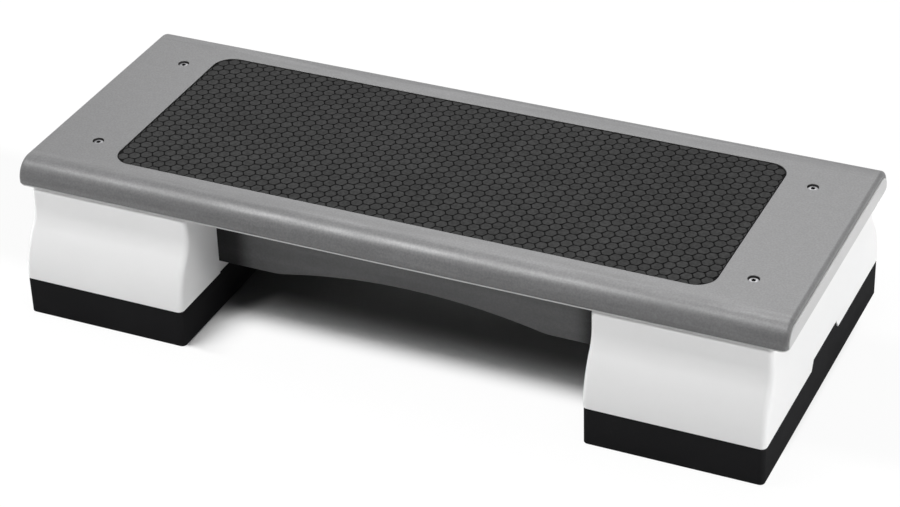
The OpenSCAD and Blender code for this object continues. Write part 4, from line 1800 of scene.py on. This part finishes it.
@dataclass
class Riser:
    """A removable riser: a hollow block whose tabs and tongue lock into the leg."""

    finishes: Finishes
    leg: Leg
    corner_r: float = 6 * MM
    foot_edge: float = 1.4 * MM
    top_edge: float = 0.4 * MM
    wall: float = 4 * MM
    flange: float = 5 * MM
    flange_w: float = 26 * MM
    rib: float = 3 * MM
    rib_y: float = 70 * MM
    post_r: float = 18 * MM
    tab_h: float = 11 * MM
    tab: float = 3 * MM
    tab_gap: float = 0.6 * MM
    front_tab_l: float = 110 * MM
    end_tab_l: float = 250 * MM
    tongue_gap: float = 1 * MM
    socket_r: float = 12.5 * MM
    socket_h: float = 2.5 * MM
    hollow_edge: float = 0.8 * MM
    lock_edge: float = 0.5 * MM
    least_r: float = 1 * MM
    foot_bevel: float = 0.6 * MM
    foot_hollow: tuple[Point2, Point2] = ((6 * MM, 0.5 * MM), (5.5 * MM, 0.0))

    def __post_init__(self) -> None:
        """Reads the riser's box; its top is where the leg stands."""
        self.low, self.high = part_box("right_riser")
        self.top = self.leg.low.z

    def plan(self, inset: float) -> Outline:
        """The riser's outline from above, drawn in."""
        radius = max(self.corner_r - inset, self.least_r)
        return rounded_rect((self.low.x + inset, self.low.y + inset),
                            (self.high.x - inset, self.high.y - inset), radius)

    def hollow(self) -> list[Piece]:
        """Tools for the space under the flange and the window through it.

        Returns:
            The two tools.
        """
        under, below = self.top - self.flange, self.low.z - OVERRUN
        deep = below - OVERRUN
        space = prism("space", self.plan(self.wall), below, under, high_edge=self.hollow_edge,
                      steps=2)
        rib = block("rib", (self.low.x, -self.rib / 2, deep), (self.high.x, self.rib / 2, self.top))
        ribs = Grid(1, 2, 0.0, 2 * self.rib_y).fill(rib)
        combine(space, [ribs, self.posts(deep), *self.webs(deep)])
        window = prism("window", self.plan(self.flange_w), under - OVERRUN, self.top + OVERRUN)
        return [space, combine(window, [self.posts(below)])]

    def posts(self, low: float) -> Piece:
        """The four posts from a height up through the top, for the hollow to go round."""
        post = rod("post", Vector((0, 0, low)), self.post_r, self.top - low + 2 * OVERRUN)
        return self.leg.posts.fill(post)

    def webs(self, low: float) -> list[Piece]:
        """Tools in the shape of the webs from each post to the nearest walls.

        Args:
            low: Height of their lower edge.

        Returns:
            The tools.
        """
        leg, half = self.leg, self.rib / 2
        made = []
        for start, end in ((self.low.x, leg.mid_x - leg.post_out),
                           (leg.mid_x + leg.post_out, self.high.x)):
            web = block("web", (start, -half, low), (end, half, self.top))
            made.append(Grid(1, 2, 0.0, 2 * leg.post_y).fill(web))
        for start, end in ((self.low.y, -leg.post_y), (leg.post_y, self.high.y)):
            web = block("web", (-half, start, low), (half, end, self.top))
            made.append(Grid(2, 1, 2 * leg.post_out, 0.0, (leg.mid_x, 0.0, 0.0)).fill(web))
        return made

    def locks(self) -> list[Piece]:
        """The tabs that rise into the leg, and the tongue in its notch.

        Returns:
            The tabs and the tongue.
        """
        leg, sunk, high = self.leg, self.top - self.flange / 2, self.top + self.tab_h
        in_x = leg.low.x + leg.wall + leg.pocket + self.tab_gap
        out_x = leg.outer_x(self.tab_h) - leg.wall - self.tab_gap - self.tab
        back_y = leg.half_depth(self.tab_h) - leg.wall - self.tab_gap - self.tab
        half_l, half_w = self.end_tab_l / 2, self.front_tab_l / 2
        spans = [(x, x + self.tab, -half_l, half_l) for x in (in_x, out_x)]
        spans += [(leg.mid_x - half_w, leg.mid_x + half_w, y, y + self.tab)
                  for y in (back_y, -back_y - self.tab)]
        made = [block("tab", (x, y, sunk), (end_x, end_y, high), self.lock_edge)
                for x, end_x, y, end_y in spans]
        g = self.tongue_gap
        w, top, peak = leg.notch_half - g, leg.notch_top_half - g, self.top + leg.notch_h - g
        outline = [(-w, sunk), (w, sunk), (w, self.top), (top, peak), (-top, peak), (-w, self.top)]
        made.append(prism("tongue", outline, self.high.x - self.wall, self.high.x, Facing.X,
                          high_edge=self.top_edge, steps=2))
        return made

    def right(self) -> Piece:
        """The right-hand riser.

        Returns:
            The riser.
        """
        made = prism("right_riser_block", self.plan(0.0), self.low.z, self.top,
                     low_edge=self.foot_edge, high_edge=self.top_edge, steps=4)
        combine(made, self.hollow())
        combine(made, self.locks(), cut=False)
        leg = self.leg
        socket = rod("socket", Vector((0, 0, self.top - self.socket_h)), self.socket_r,
                     self.socket_h + OVERRUN)
        stem = rod("stem", Vector((0, 0, self.low.z - OVERRUN)), leg.stem_r, leg.stem_l + OVERRUN)
        return combine(made, [leg.posts.fill(socket), leg.posts.fill(stem)])

    def feet(self) -> Piece:
        """The rubber feet, with a bevelled and ringed tread.

        Returns:
            The four feet.
        """
        low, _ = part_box("right_riser_feet")
        return self.leg.soft_feet("right_riser_soft_feet", self.foot_bevel, self.foot_hollow, 0.0,
                                  self.low.z, low.x)

    def build(self) -> None:
        """Builds and dresses both risers and their feet."""
        f = self.finishes
        risers, feet = smoothed(self.right()), self.feet()
        bodies = Body.RIGHT_RISER, Body.LEFT_RISER
        hand_over_pair(risers, "left_riser_block", f.get(f.black),
                       ("right_riser", "left_riser"), bodies)
        hand_over_pair(feet, "left_riser_soft_feet", f.get(f.foot),
                       ("right_riser_feet", "left_riser_feet"), bodies)


# Camera, floor and light


def outward(azimuth: float, elevation: float) -> Vector:
    """The way from the platform to a place around it: degrees from the front, and up."""
    az, el = math.radians(azimuth), math.radians(elevation)
    return Vector((math.sin(az) * math.cos(el), -math.cos(az) * math.cos(el), math.sin(el)))


@dataclass(frozen=True)
class Viewpoint:
    """The photograph's camera, as an orbit about the middle of the platform."""

    azimuth: float = 25.4
    elevation: float = 32.19
    roll: float = -1.97
    distance: float = 3.2562
    right_shift: float = -1.05 * MM
    up_shift: float = -23.84 * MM
    focal_pixels: float = 2671.0
    sensor: float = 36.0

    def build(self) -> None:
        """Places the camera and makes it the scene's."""
        back = outward(self.azimuth, self.elevation)
        right = outward(self.azimuth + 90, 0.0)
        up = back.cross(right)
        place = (Vector(LOOK_AT) + back * self.distance + right * self.right_shift
                 + up * self.up_shift)
        turn = math.radians(self.roll)
        rolled_right = right * math.cos(turn) + up * math.sin(turn)
        rolled_up = up * math.cos(turn) - right * math.sin(turn)
        data = bpy.data.cameras.new("photo_camera")
        data.sensor_width = self.sensor
        data.lens = self.focal_pixels * self.sensor / PHOTO_WIDTH
        camera = bpy.data.objects.new("photo_camera", data)
        bpy.context.scene.collection.objects.link(camera)
        camera.matrix_world = Matrix((
            (rolled_right.x, rolled_up.x, back.x, place.x),
            (rolled_right.y, rolled_up.y, back.y, place.y),
            (rolled_right.z, rolled_up.z, back.z, place.z), (0, 0, 0, 1)))
        bpy.context.scene.camera = camera


@dataclass(frozen=True)
class Softbox:
    """One soft lamp that looks at the middle of the platform."""

    name: str
    azimuth: float
    elevation: float
    distance: float
    size: tuple[float, float]
    level: float
    glossy: bool = True

    def build(self) -> None:
        """Places the lamp. Its level is the light it gives a surface that faces it."""
        way = outward(self.azimuth, self.elevation)
        data = bpy.data.lights.new(self.name, "AREA")
        data.shape = "RECTANGLE"
        data.size, data.size_y = self.size
        data.energy = self.level * math.pi * math.pi * self.distance**2
        lamp = bpy.data.objects.new(self.name, data)
        bpy.context.scene.collection.objects.link(lamp)
        lamp.location = Vector(LOOK_AT) + way * self.distance
        lamp.rotation_euler = way.to_track_quat("Z", "Y").to_euler()
        lamp.visible_glossy = self.glossy
        lamp.visible_camera = False


@dataclass
class Studio:
    """The white floor, the backdrop and the lamps."""

    lamps: tuple[Softbox, ...] = (
        Softbox("key_left_softbox", 315.0, 60.0, 2.6, (1.0, 1.0), 0.55),
        Softbox("key_right_softbox", 45.0, 60.0, 2.6, (1.0, 1.0), 0.28),
        Softbox("back_right_softbox", 135.0, 60.0, 2.6, (1.0, 1.0), 0.14),
        Softbox("overhead_softbox", 180.0, 76.0, 2.6, (1.2, 1.2), 0.3),
        Softbox("back_panel", 194.0, 43.0, 3.0, (2.4, 1.4), 0.235),
        Softbox("side_right_softbox", 90.0, 10.0, 2.6, (1.0, 0.7), 0.39, False),
        Softbox("side_left_softbox", 270.0, 10.0, 2.6, (1.0, 0.7), 0.5, False),
    )
    floor_half: float = 14.0
    floor_deep: float = 20 * MM
    floor_corner_r: float = 1.0
    paper_roughness: float = 0.9
    paper_specular: float = 0.1
    near: float = 0.55
    far: float = 1.3
    tone: float = 0.88
    # painted shadow that camera rays see under the platform, and where white glow is painted over
    # the shadows round it
    seen_tone: tuple[float, float] = (0.17, 0.35)
    seen_x: tuple[float, float] = (-225 * MM, -80 * MM)
    deep_y: tuple[float, float] = (50 * MM, 105 * MM)
    corner_x: tuple[float, float] = (205 * MM, 250 * MM)
    corner_deep: float = 45 * MM
    cut_y: tuple[float, float] = (100 * MM, 152 * MM)
    cut_x: tuple[float, float] = (-270 * MM, -195 * MM)
    ahead_y: tuple[float, float] = (202 * MM, 212 * MM)
    side_x: tuple[float, float] = (445 * MM, 485 * MM)
    cut_share: float = 0.95

    def floor(self) -> None:
        """A wide pale floor. Camera rays see a painted shadow under the platform and white glow
        painted over the shadows round it.
        """
        half = self.floor_half
        plan = rounded_rect((-half, -half), (half, half), self.floor_corner_r, steps=4)
        made = prism("studio_floor", plan, -self.floor_deep, 0.0)
        material = bpy.data.materials.new("studio_floor_paper")
        material.use_nodes = True
        t = Tree(material.node_tree)
        nodes = material.node_tree.nodes
        shader = nodes["Principled BSDF"]
        shader.inputs["Roughness"].default_value = self.paper_roughness
        shader.inputs["Specular IOR Level"].default_value = self.paper_specular
        place = t.place()
        path = t.node("ShaderNodeLightPath").outputs
        seen = path["Is Camera Ray"]
        x, y, _ = t.split(place)
        far_x, far_y = t.math("ABSOLUTE", x), t.math("ABSOLUTE", y)
        # painted shadow for camera rays: darkest toward the left leg, reaching further forward near
        # the legs
        corner = t.ramp(far_x, *self.corner_x, 0.0, self.corner_deep)
        deepest = t.ramp(x, *self.seen_x, *self.seen_tone)
        shade = t.ramp(t.math("SUBTRACT", far_y, corner), *self.deep_y, deepest, 1.0)
        change = t.math("MULTIPLY", seen, t.math("SUBTRACT", shade, self.tone))
        tone = t.math("ADD", change, self.tone)
        t.feed(shader.inputs["Base Color"], t.vector(tone, tone, tone))
        # white glow for camera rays, painted over the shadows in front of and beside the platform
        front = t.math("MULTIPLY", t.ramp(x, *self.cut_x), t.ramp(far_y, *self.cut_y))
        ahead = t.ramp(far_y, *self.ahead_y)
        beside = t.math("MAXIMUM", t.math("MAXIMUM", t.ramp(far_x, *self.side_x), ahead), front)
        reach = t.node("ShaderNodeVectorMath", {0: place}, operation="LENGTH").outputs["Value"]
        away = t.ramp(reach, self.near, self.far)
        shown = t.math("MAXIMUM", away, t.math("MULTIPLY", beside, self.cut_share))
        thrown = t.math("MULTIPLY", away, self.thrown_back(t, path))
        share = t.math("MINIMUM", t.math("ADD", t.math("MULTIPLY", shown, seen), thrown), 1.0)
        glow = t.node("ShaderNodeEmission", {"Color": (1.0, 1.0, 1.0, 1.0), "Strength": 1.0})
        mixed = t.node("ShaderNodeMixShader", {0: share, 1: shader.outputs[0], 2: glow.outputs[0]})
        t.feed(nodes["Material Output"].inputs["Surface"], mixed.outputs[0])
        made.data.materials.append(material)

    def thrown_back(self, t: Tree, path: Sockets) -> Socket:
        """One for rays that a surface mirrors or lets through."""
        return t.math("ADD", path["Is Glossy Ray"], path["Is Transmission Ray"])

    def world(self) -> None:
        """A white surround for the camera and for reflections, dark for everything else."""
        world = bpy.data.worlds.new("studio_surround")
        bpy.context.scene.world = world
        world.use_nodes = True
        t = Tree(world.node_tree)
        shader = world.node_tree.nodes["Background"]
        path = t.node("ShaderNodeLightPath").outputs
        seen = t.math("ADD", path["Is Camera Ray"], self.thrown_back(t, path))
        t.feed(shader.inputs["Strength"], t.math("MINIMUM", seen, 1.0))
        shader.inputs["Color"].default_value = (1.0, 1.0, 1.0, 1.0)

    def build(self) -> None:
        """Builds floor, surround and lamps."""
        self.floor()
        self.world()
        for lamp in self.lamps:
            lamp.build()
        bpy.context.scene.view_settings.view_transform = "Standard"


def main() -> None:
    """Builds the platform's sub-assemblies in order, then the studio and the camera."""
    logging.basicConfig(level=logging.INFO, format="%(name)s: %(message)s")
    finishes = Finishes()
    Board(finishes).build()
    TreadMat(finishes).build()
    Fasteners(finishes).build()
    leg = Leg(finishes)
    leg.build()
    Rail(finishes).build()
    Riser(finishes, leg).build()
    Studio().build()
    Viewpoint().build()
    log.info("platform complete")


if __name__ == "__main__":
    main()
